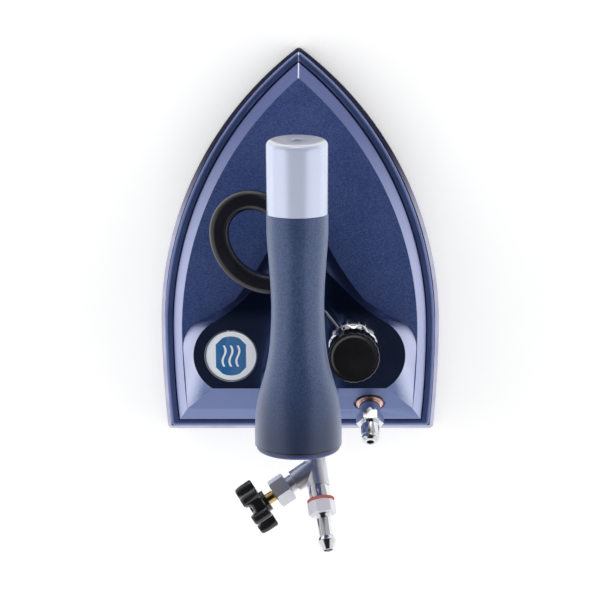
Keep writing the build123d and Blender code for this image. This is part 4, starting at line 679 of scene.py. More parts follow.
class Paint:
    """The iron's finishes, each made once and given to pieces by name."""

    def __init__(self, effects: Effects) -> None:
        """Builds the materials."""
        self.materials = {finish.name: finish.material(effects) for finish in self.finishes()}

    @staticmethod
    def finishes() -> tuple[Finish, ...]:
        """Every finish of the iron, outside first."""
        steel_worn = (0.7, 0.7, 0.72)
        return (
            SoleFinish("polished_sole", (0.52, 0.52, 0.68), (0.42, 0.42, 0.6), (0.7, 0.7, 0.8), 1.0, 0.18, 0.28, Grain.BRUSHED, 0.6, 0.0012, 0.15),
            Finish("gasket", (0.045, 0.045, 0.05), (0.08, 0.08, 0.08), (0.12, 0.12, 0.12), 0.0, 0.8, 0.9, Grain.CAST, 0.5, 0.03),
            Finish("sheet_steel", (0.5, 0.51, 0.53), (0.4, 0.41, 0.43), steel_worn, 1.0, 0.35, 0.5, Grain.BRUSHED, 0.5, 0.003),
            Finish("cast_aluminium", (0.5, 0.51, 0.53), (0.38, 0.39, 0.41), steel_worn, 1.0, 0.5, 0.62, Grain.CAST, 0.7, 0.04),
            Finish("steel_screws", (0.55, 0.55, 0.57), (0.42, 0.42, 0.44), steel_worn, 1.0, 0.28, 0.42, Grain.BRUSHED, 0.4, 0.002),
            Finish("blackened_steel", (0.03, 0.03, 0.04), (0.04, 0.04, 0.05), (0.09, 0.09, 0.1), 1.0, 0.4, 0.5, Grain.CAST, 0.5, 0.004),
            Finish("zinc_plate", (0.8, 0.81, 0.87), (0.72, 0.73, 0.8), (0.86, 0.86, 0.9), 1.0, 0.36, 0.42, Grain.CAST, 0.6, 0.002),
            Finish("satin_nut", (0.85, 0.83, 0.9), (0.78, 0.77, 0.84), (0.88, 0.87, 0.92), 0.35, 0.4, 0.48, Grain.CAST, 0.6, 0.003, 0.1, 0.3, 0.1),
            Finish("insulation", (0.72, 0.7, 0.62), (0.55, 0.53, 0.46), (0.5, 0.48, 0.42), 0.0, 0.95, 0.98, Grain.CAST, 0.9, 0.12),
            Finish("blue_paint", (0.13, 0.19, 0.44), (0.11, 0.165, 0.4), (0.2, 0.25, 0.45), 0.78, 0.34, 0.42, Grain.PEEL, 1.7, 0.008, 0.08, 0.5, 0.08),
            SkirtFinish("skirt_enamel", (0.12, 0.17, 0.42), (0.1, 0.15, 0.38), (0.2, 0.25, 0.45), 0.8, 0.3, 0.36, Grain.PEEL, 1.7, 0.008, 0.08, 0.6, 0.06),
            CastingFinish(
                "saddle_enamel", (0.1, 0.155, 0.36), (0.085, 0.135, 0.32), (0.13, 0.18, 0.38), 0.95, 0.2, 0.26, Grain.PEEL, 1.7, 0.006, 0.06, 1.0, 0.04,
            ),
            CoverFinish(
                "hammered_blue", (0.012, 0.029, 0.122), (0.046, 0.082, 0.24), (0.3, 0.34, 0.56), 0.1, 0.42, 0.5, Grain.HAMMERED, 0.8, 0.03, 0.04, 0.2, 0.2,
            ),
            Finish("badge_trim", (0.62, 0.64, 0.7), (0.5, 0.52, 0.6), (0.8, 0.8, 0.82), 1.0, 0.18, 0.3, Grain.BRUSHED, 0.4, 0.0015),
            BadgeFinish("badge_enamel", (0.82, 0.85, 0.9), (0.7, 0.76, 0.86), (0.7, 0.72, 0.78), 0.0, 0.2, 0.3, Grain.PEEL, 2.2, 0.006, 0.1, 0.5, 0.04),
            GripFinish("blue_grip", (0.05, 0.096, 0.225), (0.026, 0.052, 0.138), (0.075, 0.112, 0.23), 0.5, 0.38, 0.46, Grain.LEATHER, 0.85, 0.045, 0.12, 1.0, 0.34),
            CapFinish("pale_cap", (0.6, 0.66, 0.86), (0.64, 0.69, 0.86), (0.68, 0.72, 0.87), 0.34, 0.26, 0.264, Grain.CAST, 0.7, 0.001, 0.01, 1.0, 0.08),
            Finish("blue_cap", (0.05, 0.06, 0.18), (0.06, 0.07, 0.2), (0.12, 0.14, 0.3), 0.4, 0.34, 0.45, Grain.CAST, 0.8, 0.015, 0.2, 0.3, 0.1),
            Finish("bronze_bush", (0.45, 0.27, 0.11), (0.3, 0.17, 0.07), (0.6, 0.4, 0.2), 1.0, 0.35, 0.5, Grain.BRUSHED, 0.4, 0.004),
            Finish("cast_brass", (0.62, 0.45, 0.18), (0.45, 0.3, 0.11), (0.75, 0.6, 0.3), 1.0, 0.38, 0.5, Grain.CAST, 0.6, 0.02),
            Finish("chrome_fitting", (0.84, 0.845, 0.87), (0.78, 0.785, 0.82), (0.86, 0.86, 0.88), 1.0, 0.08, 0.18, Grain.BRUSHED, 0.5, 0.001, 0.15),
            Finish("copper_washer", (0.9, 0.56, 0.5), (0.7, 0.42, 0.3), (0.9, 0.7, 0.6), 1.0, 0.26, 0.4, Grain.BRUSHED, 0.5, 0.003, 0.2),
            Finish("red_fibre", (0.52, 0.14, 0.12), (0.4, 0.08, 0.07), (0.6, 0.25, 0.22), 0.0, 0.7, 0.8, Grain.CAST, 0.5, 0.03),
            Finish("black_lever", (0.004, 0.0036, 0.008), (0.006, 0.0055, 0.011), (0.014, 0.012, 0.022), 0.0, 0.32, 0.42, Grain.CAST, 0.9, 0.006, 0.15, 0.6, 0.12),
            Finish("bright_steel", (0.62, 0.62, 0.64), (0.5, 0.5, 0.52), steel_worn, 1.0, 0.16, 0.28, Grain.BRUSHED, 0.4, 0.002),
            Finish("rubber_seal", (0.02, 0.02, 0.02), (0.03, 0.03, 0.03), (0.06, 0.06, 0.06), 0.0, 0.8, 0.9, Grain.CAST, 0.5, 0.02),
            Finish("black_knob", (0.006, 0.006, 0.007), (0.01, 0.01, 0.012), (0.04, 0.04, 0.045), 0.0, 0.2, 0.34, Grain.CAST, 1.1, 0.004, 0.15, 0.7, 0.05),
            Finish("brass_stem", (0.7, 0.5, 0.2), (0.55, 0.36, 0.12), (0.8, 0.64, 0.34), 1.0, 0.14, 0.26, Grain.BRUSHED, 0.4, 0.002),
        )


@dataclass(frozen=True)
class Seat:
    """Axis that a turned piece sits on.

    origin: foot of the axis in millimetres.
    axis: direction that lengths are counted along.
    side: direction that turns are counted from, square to the axis.
    """

    origin: np.ndarray
    axis: np.ndarray
    side: np.ndarray

    @staticmethod
    def made(origin: object, axis: object, towards: object, back: float = 0.0) -> "Seat":
        """Seat from a point and a direction.

        Args:
            origin: point on the axis in millimetres.
            axis: the axis's direction.
            towards: direction near which turns start.
            back: distance from the point back to the axis's foot.

        Returns:
            The seat.
        """
        along = np.array(axis, float) / np.linalg.norm(axis)
        hint = np.array(towards, float)
        side = hint - along * (hint @ along)
        return Seat(np.array(origin, float) - along * back, along, side / np.linalg.norm(side))

    def place(self, along: object, outward: object, turn: object) -> np.ndarray:
        """origin + axis along + outward (side cos turn + across sin turn), on whole arrays."""
        across = np.cross(self.axis, self.side)
        along, outward, turn = np.broadcast_arrays(along, outward, turn)
        ring = np.cos(turn)[..., None] * self.side + np.sin(turn)[..., None] * across
        return self.origin + along[..., None] * self.axis + outward[..., None] * ring


class Workshop:
    """Makes meshes and gives each piece its body, slot and material."""

    def __init__(self, frame: dict, paint: Paint) -> None:
        """Keeps the frame and the finishes."""
        self.frame = frame
        self.paint = paint
        self.count = 0

    def finish_piece(self, piece: bpy.types.Object, body: Body, slot: str, *nodes: str, finish: str = "") -> bpy.types.Object:
        """Lets a new piece ride, stand for its CAD nodes and take its finish.

        Args:
            piece: the new object.
            body: the body that it rides on.
            slot: the record's material slot.
            nodes: CAD nodes that it stands for.
            finish: the finish, where it isn't the slot's own.

        Returns:
            The piece.
        """
        piece.data.materials.clear()
        piece.data.materials.append(self.paint.materials[finish or slot])
        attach(piece, body.value)
        if nodes:
            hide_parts(*nodes)
        self.count += 1
        log.info("piece %s: %d faces, finish %s", piece.name, len(piece.data.polygons), finish or slot)
        return piece

    def dress_node(self, node: str, slot: str) -> None:
        """Gives a CAD node that stays in view its finish."""
        shown = self.frame["nodes"][node]
        shown.data.materials.clear()
        shown.data.materials.append(self.paint.materials[slot])
        log.info("node %s: finish %s", node, slot)

    def surface(self, name: str, points: np.ndarray, sharp: float = 32.0) -> bpy.types.Object:
        """Mesh from a grid of points whose columns close on themselves.

        Each quad joins (r, c), (r, c+1), (r+1, c+1) and (r+1, c), with the last column joined to
        the first. Rows that meet at a pole or at a seam are merged.

        Args:
            name: the piece's name.
            points: array of rows, columns and the three coordinates, in millimetres.
            sharp: angle in degrees from which an edge stays sharp.

        Returns:
            The new object.
        """
        rows, columns = points.shape[:2]
        index = np.arange(rows * columns).reshape(rows, columns)
        turned_on = np.roll(index, -1, axis=1)
        quads = np.stack([index[:-1], turned_on[:-1], turned_on[1:], index[1:]], axis=-1).reshape(-1, 4)
        mesh = bpy.data.meshes.new(name)
        mesh.from_pydata((points.reshape(-1, 3) * MM).tolist(), [], quads.tolist())
        return self.closed(name, mesh, sharp)

    @staticmethod
    def closed(name: str, mesh: bpy.types.Mesh, sharp: float) -> bpy.types.Object:
        """Object from a mesh after its doubles are merged and its faces turned outwards."""
        work = bmesh.new()
        work.from_mesh(mesh)
        bmesh.ops.remove_doubles(work, verts=work.verts, dist=1e-6)
        bmesh.ops.recalc_face_normals(work, faces=work.faces)
        work.to_mesh(mesh)
        work.free()
        mesh.polygons.foreach_set("use_smooth", [True] * len(mesh.polygons))
        mesh.set_sharp_from_angle(angle=radians(sharp))
        piece = bpy.data.objects.new(name, mesh)
        bpy.context.scene.collection.objects.link(piece)
        return piece

    @staticmethod
    def eased_profile(corners: object, radii: object, steps: int = 5) -> np.ndarray:
        """Profile with its corners eased.

        Corner C between A and B, each its radius away along the profile, becomes the parabola
        (1-t)(1-t) A + 2t(1-t) C + t t B.

        Args:
            corners: the profile's points, along and outward.
            radii: one radius, or one for each point.
            steps: points on each eased corner.

        Returns:
            The eased profile.
        """
        path = np.array(corners, float)
        size = np.broadcast_to(np.array(radii, float), (len(path),))[1:-1]
        before, here, after = path[:-2], path[1:-1], path[2:]
        back, ahead = before - here, after - here
        back_length = np.linalg.norm(back, axis=1)
        ahead_length = np.linalg.norm(ahead, axis=1)
        reach = np.minimum(size, 0.49 * np.minimum(back_length, ahead_length))
        start = here + back / back_length[:, None] * reach[:, None]
        end = here + ahead / ahead_length[:, None] * reach[:, None]
        t = np.linspace(0, 1, steps)[None, :, None]
        curve = (1 - t) ** 2 * start[:, None] + 2 * t * (1 - t) * here[:, None] + t**2 * end[:, None]
        return np.vstack([path[:1], curve.reshape(-1, 2), path[-1:]])

    def turned(self, name: str, seat: Seat, corners: object, radii: object = 0.0, segments: int = 96) -> bpy.types.Object:
        """Body of revolution: seat.place(along, outward, turn) for the eased profile and all turns.

        Args:
            name: the piece's name.
            seat: the axis that it is turned about.
            corners: profile points, along and outward.
            radii: easing of the corners.
            segments: columns round the axis.

        Returns:
            The new object.
        """
        profile = self.eased_profile(corners, radii)
        turns = np.linspace(0, 2 * pi, segments, endpoint=False)
        return self.surface(name, seat.place(profile[:, :1], profile[:, 1:], turns[None, :]))

    def hexagon(
        self, name: str, seat: Seat, start: float, end: float, flats: float, ease_start: bool = True, ease_end: bool = True, turn: float = 0.0,
    ) -> bpy.types.Object:
        """Hexagon with turned corners.

        The outline is flats/2 / cos(turn within 30 degrees of a flat). A cone from just inside the
        flats cuts its corners: it reaches the outline at (outline - cone foot) tan 30 from the end.

        Args:
            name: the piece's name.
            seat: the axis.
            start: place of the first face along the axis.
            end: place of the last face.
            flats: width across the flats.
            ease_start: whether the first face's corners are turned off.
            ease_end: whether the last face's corners are turned off.
            turn: turn of the flats in degrees.

        Returns:
            The new object, with a small bevel.
        """
        turns = np.linspace(0, 2 * pi, 96, endpoint=False)
        outline = flats / 2 / np.cos((turns + pi / 6) % (pi / 3) - pi / 6)
        foot = np.full_like(turns, flats / 2 * 0.985)
        drop = (outline - foot) * tan(radians(30))
        still = np.zeros_like(turns)
        first, last = (drop if ease_start else still), (drop if ease_end else still)
        along = np.stack([still + start, still + start, start + first, end - last, still + end, still + end])
        outward = np.stack([still, foot if ease_start else outline, outline, outline, foot if ease_end else outline, still])
        piece = self.surface(name, seat.place(along, outward, turns[None, :] + radians(turn)), sharp=20)
        self.ease_edges(piece, 0.22, 18.0)
        return piece

    @staticmethod
    def ease_edges(piece: bpy.types.Object, width: float, angle: float = 30.0, segments: int = 2) -> None:
        """Live bevel on edges sharper than an angle, width in millimetres."""
        bevel = piece.modifiers.new("eased_edges", "BEVEL")
        bevel.width = width * MM
        bevel.segments = segments
        bevel.limit_method = "ANGLE"
        bevel.angle_limit = radians(angle)
        bevel.use_clamp_overlap = True
        bevel.harden_normals = True
        bevel.miter_outer = "MITER_ARC"

    def eased_copy(self, name: str, node: str, width: float, angle: float = 30.0, segments: int = 2) -> bpy.types.Object:
        """Merged copy of a CAD node with flat faces joined up and its edges eased.

        Args:
            name: the piece's name.
            node: the CAD node.
            width: the bevel's width in millimetres.
            angle: angle in degrees from which edges are eased.
            segments: the bevel's steps.

        Returns:
            The new object.
        """
        mesh = self.frame["nodes"][node].data.copy()
        mesh.name = name
        work = bmesh.new()
        work.from_mesh(mesh)
        bmesh.ops.remove_doubles(work, verts=work.verts, dist=1e-6)
        bmesh.ops.dissolve_limit(work, angle_limit=radians(0.3), verts=work.verts, edges=work.edges)
        fresh = bpy.data.meshes.new(name)
        work.to_mesh(fresh)
        work.free()
        fresh.polygons.foreach_set("use_smooth", [True] * len(fresh.polygons))
        fresh.set_sharp_from_angle(angle=radians(angle))
        piece = bpy.data.objects.new(name, fresh)
        bpy.context.scene.collection.objects.link(piece)
        self.ease_edges(piece, width, angle, segments)
        return piece

    def mount_seat(self, name: str, towards: object, back: float) -> Seat:
        """Seat on a mount's axis, its foot a distance back from the mount's place."""
        mount = next(m for m in self.frame["record"]["mounts"] if m["name"] == name)
        return Seat.made(np.array(mount["pos_m"]) / MM, mount["axis"], towards, back)

    def joint_seat(self, name: str, towards: object) -> Seat:
        """Seat on a joint's axis, its foot at the joint's place."""
        joint = next(j for j in self.frame["joints"] if j["name"] == name)
        return Seat.made(np.array(joint["pos_m"]) / MM, joint["axis"], towards)

    def top_of(self, node: str) -> float:
        """Height of a CAD node's top in millimetres."""
        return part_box(node)[1].z / MM

    def foot_of(self, node: str) -> float:
        """Height of a CAD node's foot in millimetres."""
        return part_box(node)[0].z / MM

    def radius_of(self, node: str) -> float:
        """Half the smaller plan width of a CAD node's box in millimetres."""
        low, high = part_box(node)
        return min(high.x - low.x, high.y - low.y) / 2 / MM


@dataclass
class Base:
    """Sole, skirt and cover, and the steam chest inside them.

    sole_edge: easing of the sole's edges.
    skirt_edge: easing of the skirt's sharp edges.
    cover_edge: easing of the cover's folds and of its mitre at the tip.
    """

    sole_edge: float = 0.5
    skirt_edge: float = 0.3
    cover_edge: float = 0.6

    def build(self, shop: Workshop) -> None:
        """Eases the outer castings and dresses what lies inside."""
        sole = shop.eased_copy("sole_plate_polished", "sole_plate", self.sole_edge, 35)
        shop.finish_piece(sole, Body.ROOT, "polished_sole", "sole_plate")
        skirt = shop.eased_copy("base_skirt_painted", "base_skirt", self.skirt_edge, 40)
        shop.finish_piece(skirt, Body.ROOT, "blue_paint", "base_skirt", finish="skirt_enamel")
        cover = shop.eased_copy("top_cover_painted", "top_cover", self.cover_edge, 25)
        shop.finish_piece(cover, Body.ROOT, "hammered_blue", "top_cover")
        for node, slot in (
            ("chest_gasket", "gasket"),
            ("baffle_plate", "sheet_steel"),
            ("steam_chest", "cast_aluminium"),
            ("chest_screws", "steel_screws"),
            ("insulation_pad", "insulation"),
        ):
            shop.dress_node(node, slot)


@dataclass
class Saddle:
    """Two-lobed casting with its prow, screws and badge.

    edge: easing of the casting's edges.
    ring_width: width of the badge's ring.
    ring_rise: how far the ring stands proud of the lobe.
    dome: rise of the enamel's middle over its edge.
    """

    edge: float = 0.55
    ring_width: float = 0.9
    ring_rise: float = 0.35
    dome: float = 0.25

    def build(self, shop: Workshop) -> None:
        """Eases the casting and makes the badge."""
        casting = shop.eased_copy("saddle_painted", "saddle", self.edge, 24, 3)
        shop.finish_piece(casting, Body.ROOT, "blue_paint", "saddle", finish="saddle_enamel")
        shop.dress_node("saddle_screws", "steel_screws")
        low, high = (np.array(corner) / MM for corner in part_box("badge_ring"))
        centre = (low + high) / 2
        radius = (high[0] - low[0]) / 2
        seat = Seat.made((centre[0], centre[1], low[2]), (0, 0, 1), (1, 0, 0))
        depth = high[2] - low[2]
        inner = radius - self.ring_width
        ring = shop.turned(
            "badge_rim",
            seat,
            ((0, inner), (0, radius), (depth + self.ring_rise, radius), (depth + self.ring_rise, inner), (0, inner)),
            (0, 0, 0.35, 0.35, 0),
            144,
        )
        shop.finish_piece(ring, Body.ROOT, "badge_trim", "badge_ring")
        share = np.linspace(0, 1, 24)
        face = np.stack([depth - 0.1 + self.dome * (1 - share**2), share * (inner + 0.05)], axis=1)
        profile = np.vstack([face, [[0.0, inner + 0.05], [0.0, 0.0]]])
        turns = np.linspace(0, 2 * pi, 144, endpoint=False)
        disc = shop.surface("badge_enamel_disc", seat.place(profile[:, :1], profile[:, 1:], turns[None, :]))
        shop.finish_piece(disc, Body.ROOT, "badge_enamel", "badge_disc")


@dataclass
class Handle:
    """Column, grip with its two caps, and the rod and screws that hold them.

    grip_edge: easing of the grip's ends.
    cap_edge: easing of the rear cap's edge.
    column_edge: easing of the column.
    cap_length: length of the end cap on its axis.
    cap_lean: lean of its front face in degrees.
    cap_round: easing of its front edge.
    hole_radius: radius of the recess in its face.
    hole_depth: the recess's depth.
    """

    grip_edge: float = 0.45
    cap_edge: float = 0.35
    column_edge: float = 0.8
    cap_length: float = 39.6
    cap_lean: float = 5.4
    cap_round: float = 3.4
    hole_radius: float = 3.0
    hole_depth: float = 3.0

    def build(self, shop: Workshop) -> None:
        """Eases each moulding and dresses the rod and screws."""
        for name, node, width, slot in (
            ("grip_textured", "grip", self.grip_edge, "blue_grip"),
            ("rear_cap_moulded", "rear_cap", self.cap_edge, "blue_cap"),
            ("column_painted", "handle_column", self.column_edge, "blue_paint"),
        ):
            piece = shop.eased_copy(name, node, width, 30, 3)
            shop.finish_piece(piece, Body.ROOT, slot, node)
        shop.finish_piece(self.end_cap(shop), Body.ROOT, "pale_cap", "end_cap")
        shop.dress_node("end_screw", "blackened_steel")
        for node in ("column_screws", "core_rod", "rear_screw"):
            shop.dress_node(node, "steel_screws")

    def end_cap(self, shop: Workshop) -> bpy.types.Object:
        """End cap: a turned profile whose front leans back.

        A point moves along the grip by -(z - axis) tan(lean) s. Its share s grows evenly from 0 at the
        cap's rear to 1 where the front edge starts.
        """
        low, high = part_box("end_cap")
        radius = (high.x - low.x) / 2 / MM
        middle = (low.z + high.z) / 2 / MM
        front = self.cap_length
        foot = front - self.hole_depth
        corners = ((0, 0), (0, radius), (front, radius), (front, self.hole_radius), (foot, self.hole_radius), (foot, 0))
        profile = shop.eased_profile(corners, (0, 0.25, self.cap_round, 0.3, 0.1, 0), 10)
        along, outward = profile[:, :1], profile[:, 1:]
        seat = Seat.made((0, low.y / MM, middle), (0, 1, 0), (0, 0, 1))
        points = seat.place(along, outward, np.linspace(0, 2 * pi, 128, endpoint=False)[None, :])
        share = np.clip(along / (front - self.cap_round), 0, 1)
        points[..., 1] -= (points[..., 2] - middle) * tan(radians(self.cap_lean)) * share
        return shop.surface("end_cap_moulded", points)


@dataclass
class ThumbLever:
    """Thumb loop on its shaft, with bracket, bushes, clip and crank wire.

    loop_edge: easing of the arm and hub.
    """

    loop_edge: float = 1.2

    def build(self, shop: Workshop) -> None:
        """Eases the loop and the bracket, and dresses the small steel parts."""
        loop = shop.eased_copy("thumb_loop_moulded", "thumb_loop", self.loop_edge, 40, 3)
        shop.finish_piece(loop, Body.LEVER, "black_lever", "thumb_loop")
        bracket = shop.eased_copy("lever_bracket_painted", "lever_bracket", 0.5, 40, 3)
        shop.finish_piece(bracket, Body.ROOT, "blue_paint", "lever_bracket")
        shop.dress_node("lever_bushes", "bronze_bush")
        for node in ("lever_shaft", "shaft_clip", "crank_wire"):
            shop.dress_node(node, "steel_screws")


@dataclass
class SteamValve:
    """Steam valve: crown bonnet, gland, lift collar and regulating knob.

    crown_slope: height of the crown's drawn-in top.
    crown_draw: how far the top is drawn in.
    facets: facets round the crown, each with crossing ridges.
    ridge_depth: depth between the ridges.
    ridge_lean: how far a ridge leans over the drawn-in top, in facets.
    spigot: height of the gland nut's spigot inside the crown.
    knob_ribs: fine ribs round the knob.
    knob_rib_depth: depth between the ribs.
    dish: depth of the knob's dished top.
    rim: width of the rim round the dish.
    """

    crown_slope: float = 5.0
    crown_draw: float = 4.0
    facets: int = 8
    ridge_depth: float = 1.3
    ridge_lean: float = 1.9
    spigot: float = 2.2
    knob_ribs: int = 24
    knob_rib_depth: float = 0.35
    dish: float = 0.7
    rim: float = 1.1

    def build(self, shop: Workshop) -> None:
        """Makes crown and knob and dresses the rest."""
        joint = shop.joint_seat("regulator_turn", (1, 0, 0))
        self.crown(shop, joint.origin)
        self.knob(shop, joint.origin)
        collar = shop.eased_copy("lift_collar_bright", "lift_collar", 0.25, 40)
        shop.finish_piece(collar, Body.PLUNGER, "chrome_fitting", "lift_collar")
        nut = shop.eased_copy("gland_nut_bright", "gland_nut", 0.25, 40)
        shop.finish_piece(nut, Body.ROOT, "chrome_fitting", "gland_nut")
        for node, slot in (
            ("valve_body", "cast_brass"),
            ("valve_seat", "cast_brass"),
            ("bonnet_gasket", "gasket"),
            ("gland_packing", "gasket"),
            ("valve_stem", "bright_steel"),
            ("plunger_seal", "rubber_seal"),
        ):
            shop.dress_node(node, slot)
        self.spring(shop)

    @staticmethod
    def spring(shop: Workshop) -> None:
        """Return spring: a merged copy of its CAD node that rides on the plunger.
        """
        mesh = shop.frame["nodes"]["return_spring"].data.copy()
        coil = shop.closed("return_spring_coil", mesh, 50.0)
        shop.finish_piece(coil, Body.PLUNGER, "bright_steel", "return_spring")
        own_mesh(coil)

    def crown(self, shop: Workshop, centre: np.ndarray) -> None:
        """Crown with ridges that cross in an X on every facet.

        outward = radius - draw(height) - depth (1 - ridge), where ridge is the larger of
        |cos n(turn + lean)| and |cos n(turn - lean)|, made flat on top, n is half the number of
        facets and lean runs from minus to plus half the ridge's lean over the drawn-in top.
        """
        foot, top = shop.top_of("bonnet_gasket"), shop.foot_of("gland_nut") + self.spigot
        height, radius = top - foot, shop.radius_of("valve_bonnet")
        level = np.concatenate([[0, 0], np.linspace(0, height, 44), [height]])[:, None]
        turns = np.linspace(0, 2 * pi, 540, endpoint=False)[None, :]
        over = np.clip((level - (height - self.crown_slope)) / self.crown_slope, 0, 1)
        draw = self.crown_draw * over
        lean = (over - 0.5) * self.ridge_lean * pi / self.facets
        half = self.facets / 2
        ridge = np.maximum(np.abs(np.cos(half * (turns + lean))), np.abs(np.cos(half * (turns - lean))))
        ridge = np.clip((ridge - 0.84) / 0.1, 0, 1)
        ridge = ridge * ridge * (3 - 2 * ridge)
        skin = np.clip(np.minimum(level, height - level + 0.3) / 0.6, 0, 1)
        outward = radius - draw - self.ridge_depth * (1 - ridge) * skin
        outward[0] = 0.0
        outward[1] = radius - self.ridge_depth
        outward[-1] = 5.0
        along = np.broadcast_to(level, outward.shape).copy()
        seat = Seat.made((centre[0], centre[1], foot), (0, 0, 1), (1, 0, 0))
        closing = seat.place(np.full((1, turns.shape[1]), height - 0.01), np.zeros((1, turns.shape[1])), turns)
        points = np.vstack([seat.place(along, outward, turns), closing])
        crown = shop.surface("valve_crown", points, sharp=40)
        shop.finish_piece(crown, Body.ROOT, "chrome_fitting", "valve_bonnet")

    def knob(self, shop: Workshop, centre: np.ndarray) -> None:
        """Knob with a dished top and ribbed side.

        outward = profile - rib depth (1 + cos(ribs turn))/2 on the side rows only.
        """
        foot, top = shop.foot_of("regulator_knob"), shop.top_of("regulator_knob")
        height, radius = top - foot, shop.radius_of("regulator_knob")
        corners = (
            (0, 0), (0, radius), (height, radius), (height, radius - self.rim - 0.6),
            (height - self.dish, radius - self.rim - 1.6), (height - self.dish - 0.15, 0),
        )
        profile = shop.eased_profile(corners, (0, 0.8, 1.5, 0.7, 1.4, 0), 9)
        turns = np.linspace(0, 2 * pi, 432, endpoint=False)[None, :]
        along, outward = profile[:, :1], profile[:, 1:]
        side = np.clip((outward - (radius - 1.0)) / 0.9, 0, 1)
        ribbed = outward - self.knob_rib_depth * (0.5 + 0.5 * np.cos(self.knob_ribs * turns)) * side
        seat = Seat.made((centre[0], centre[1], foot), (0, 0, 1), (1, 0, 0))
        knob = shop.surface("regulator_knob_moulded", seat.place(along, ribbed, turns))
        shop.finish_piece(knob, Body.REGULATOR, "black_knob", "regulator_knob")


@dataclass
class CondensatePort:
    """Condensate nipple on the rear slope, with its copper washer.

    Places are distances along the port's axis from the rear slope.
    """

    pipe_middle: float = 20.2
    washer_foot: float = -1.6
    washer_radius: float = 7.9
    neck_start: float = 0.8
    neck_radius: float = 6.2
    hex_start: float = 8.4
    hex_end: float = 14.4
    hex_flats: float = 14.0
    pipe_radius: float = 5.4
    tip: float = 26.4
    groove_at: float = 22.4
    groove_width: float = 1.0
    groove_depth: float = 0.45
    bore_radius: float = 2.15
    bore_shown: float = 9.0

    def build(self, shop: Workshop) -> None:
        """Makes washer, neck, hexagon and pipe end."""
        seat = shop.mount_seat("condensate_nipple", (1, 0, 0), self.pipe_middle)
        washer = shop.turned(
            "condensate_washer_copper",
            seat,
            ((self.washer_foot, 5.3), (self.washer_foot, self.washer_radius), (self.neck_start, self.washer_radius), (self.neck_start, 5.3), (self.washer_foot, 5.3)),
            (0, 0.3, 0.6, 0.2, 0),
        )
        shop.finish_piece(washer, Body.ROOT, "copper_washer", "condensate_washer")
        neck = shop.turned(
            "nipple_neck",
            seat,
            ((self.washer_foot - 8, 0), (self.washer_foot - 8, 5.0), (self.neck_start, 5.0), (self.neck_start, self.neck_radius), (self.hex_start + 0.1, self.neck_radius), (self.hex_start + 0.1, 0)),
            (0, 0.5, 0, 0.5, 0, 0),
        )
        shop.finish_piece(neck, Body.ROOT, "chrome_fitting", "condensate_nipple")
        hexagon = shop.hexagon("nipple_hexagon", seat, self.hex_start, self.hex_end, self.hex_flats, turn=30.0)
        shop.finish_piece(hexagon, Body.ROOT, "chrome_fitting", "condensate_nipple")
        low = self.pipe_radius - self.groove_depth
        pipe = shop.turned(
            "nipple_pipe_end",
            seat,
            (
                (self.hex_end - 0.1, 0), (self.hex_end - 0.1, self.pipe_radius - 0.5), (self.hex_end + 1.0, self.pipe_radius - 0.5),
                (self.hex_end + 1.2, self.pipe_radius), (self.groove_at, self.pipe_radius), (self.groove_at + 0.2, low),
                (self.groove_at + self.groove_width, low), (self.groove_at + self.groove_width + 0.2, self.pipe_radius),
                (self.tip - 1.5, self.pipe_radius), (self.tip, self.pipe_radius - 1.5), (self.tip, self.bore_radius),
                (self.tip - self.bore_shown, self.bore_radius), (self.tip - self.bore_shown, 0),
            ),
            (0, 0, 0, 0.15, 0.15, 0.1, 0.1, 0.15, 0.7, 0.5, 0.3, 0.2, 0),
        )
        shop.finish_piece(pipe, Body.ROOT, "chrome_fitting", "condensate_nipple")


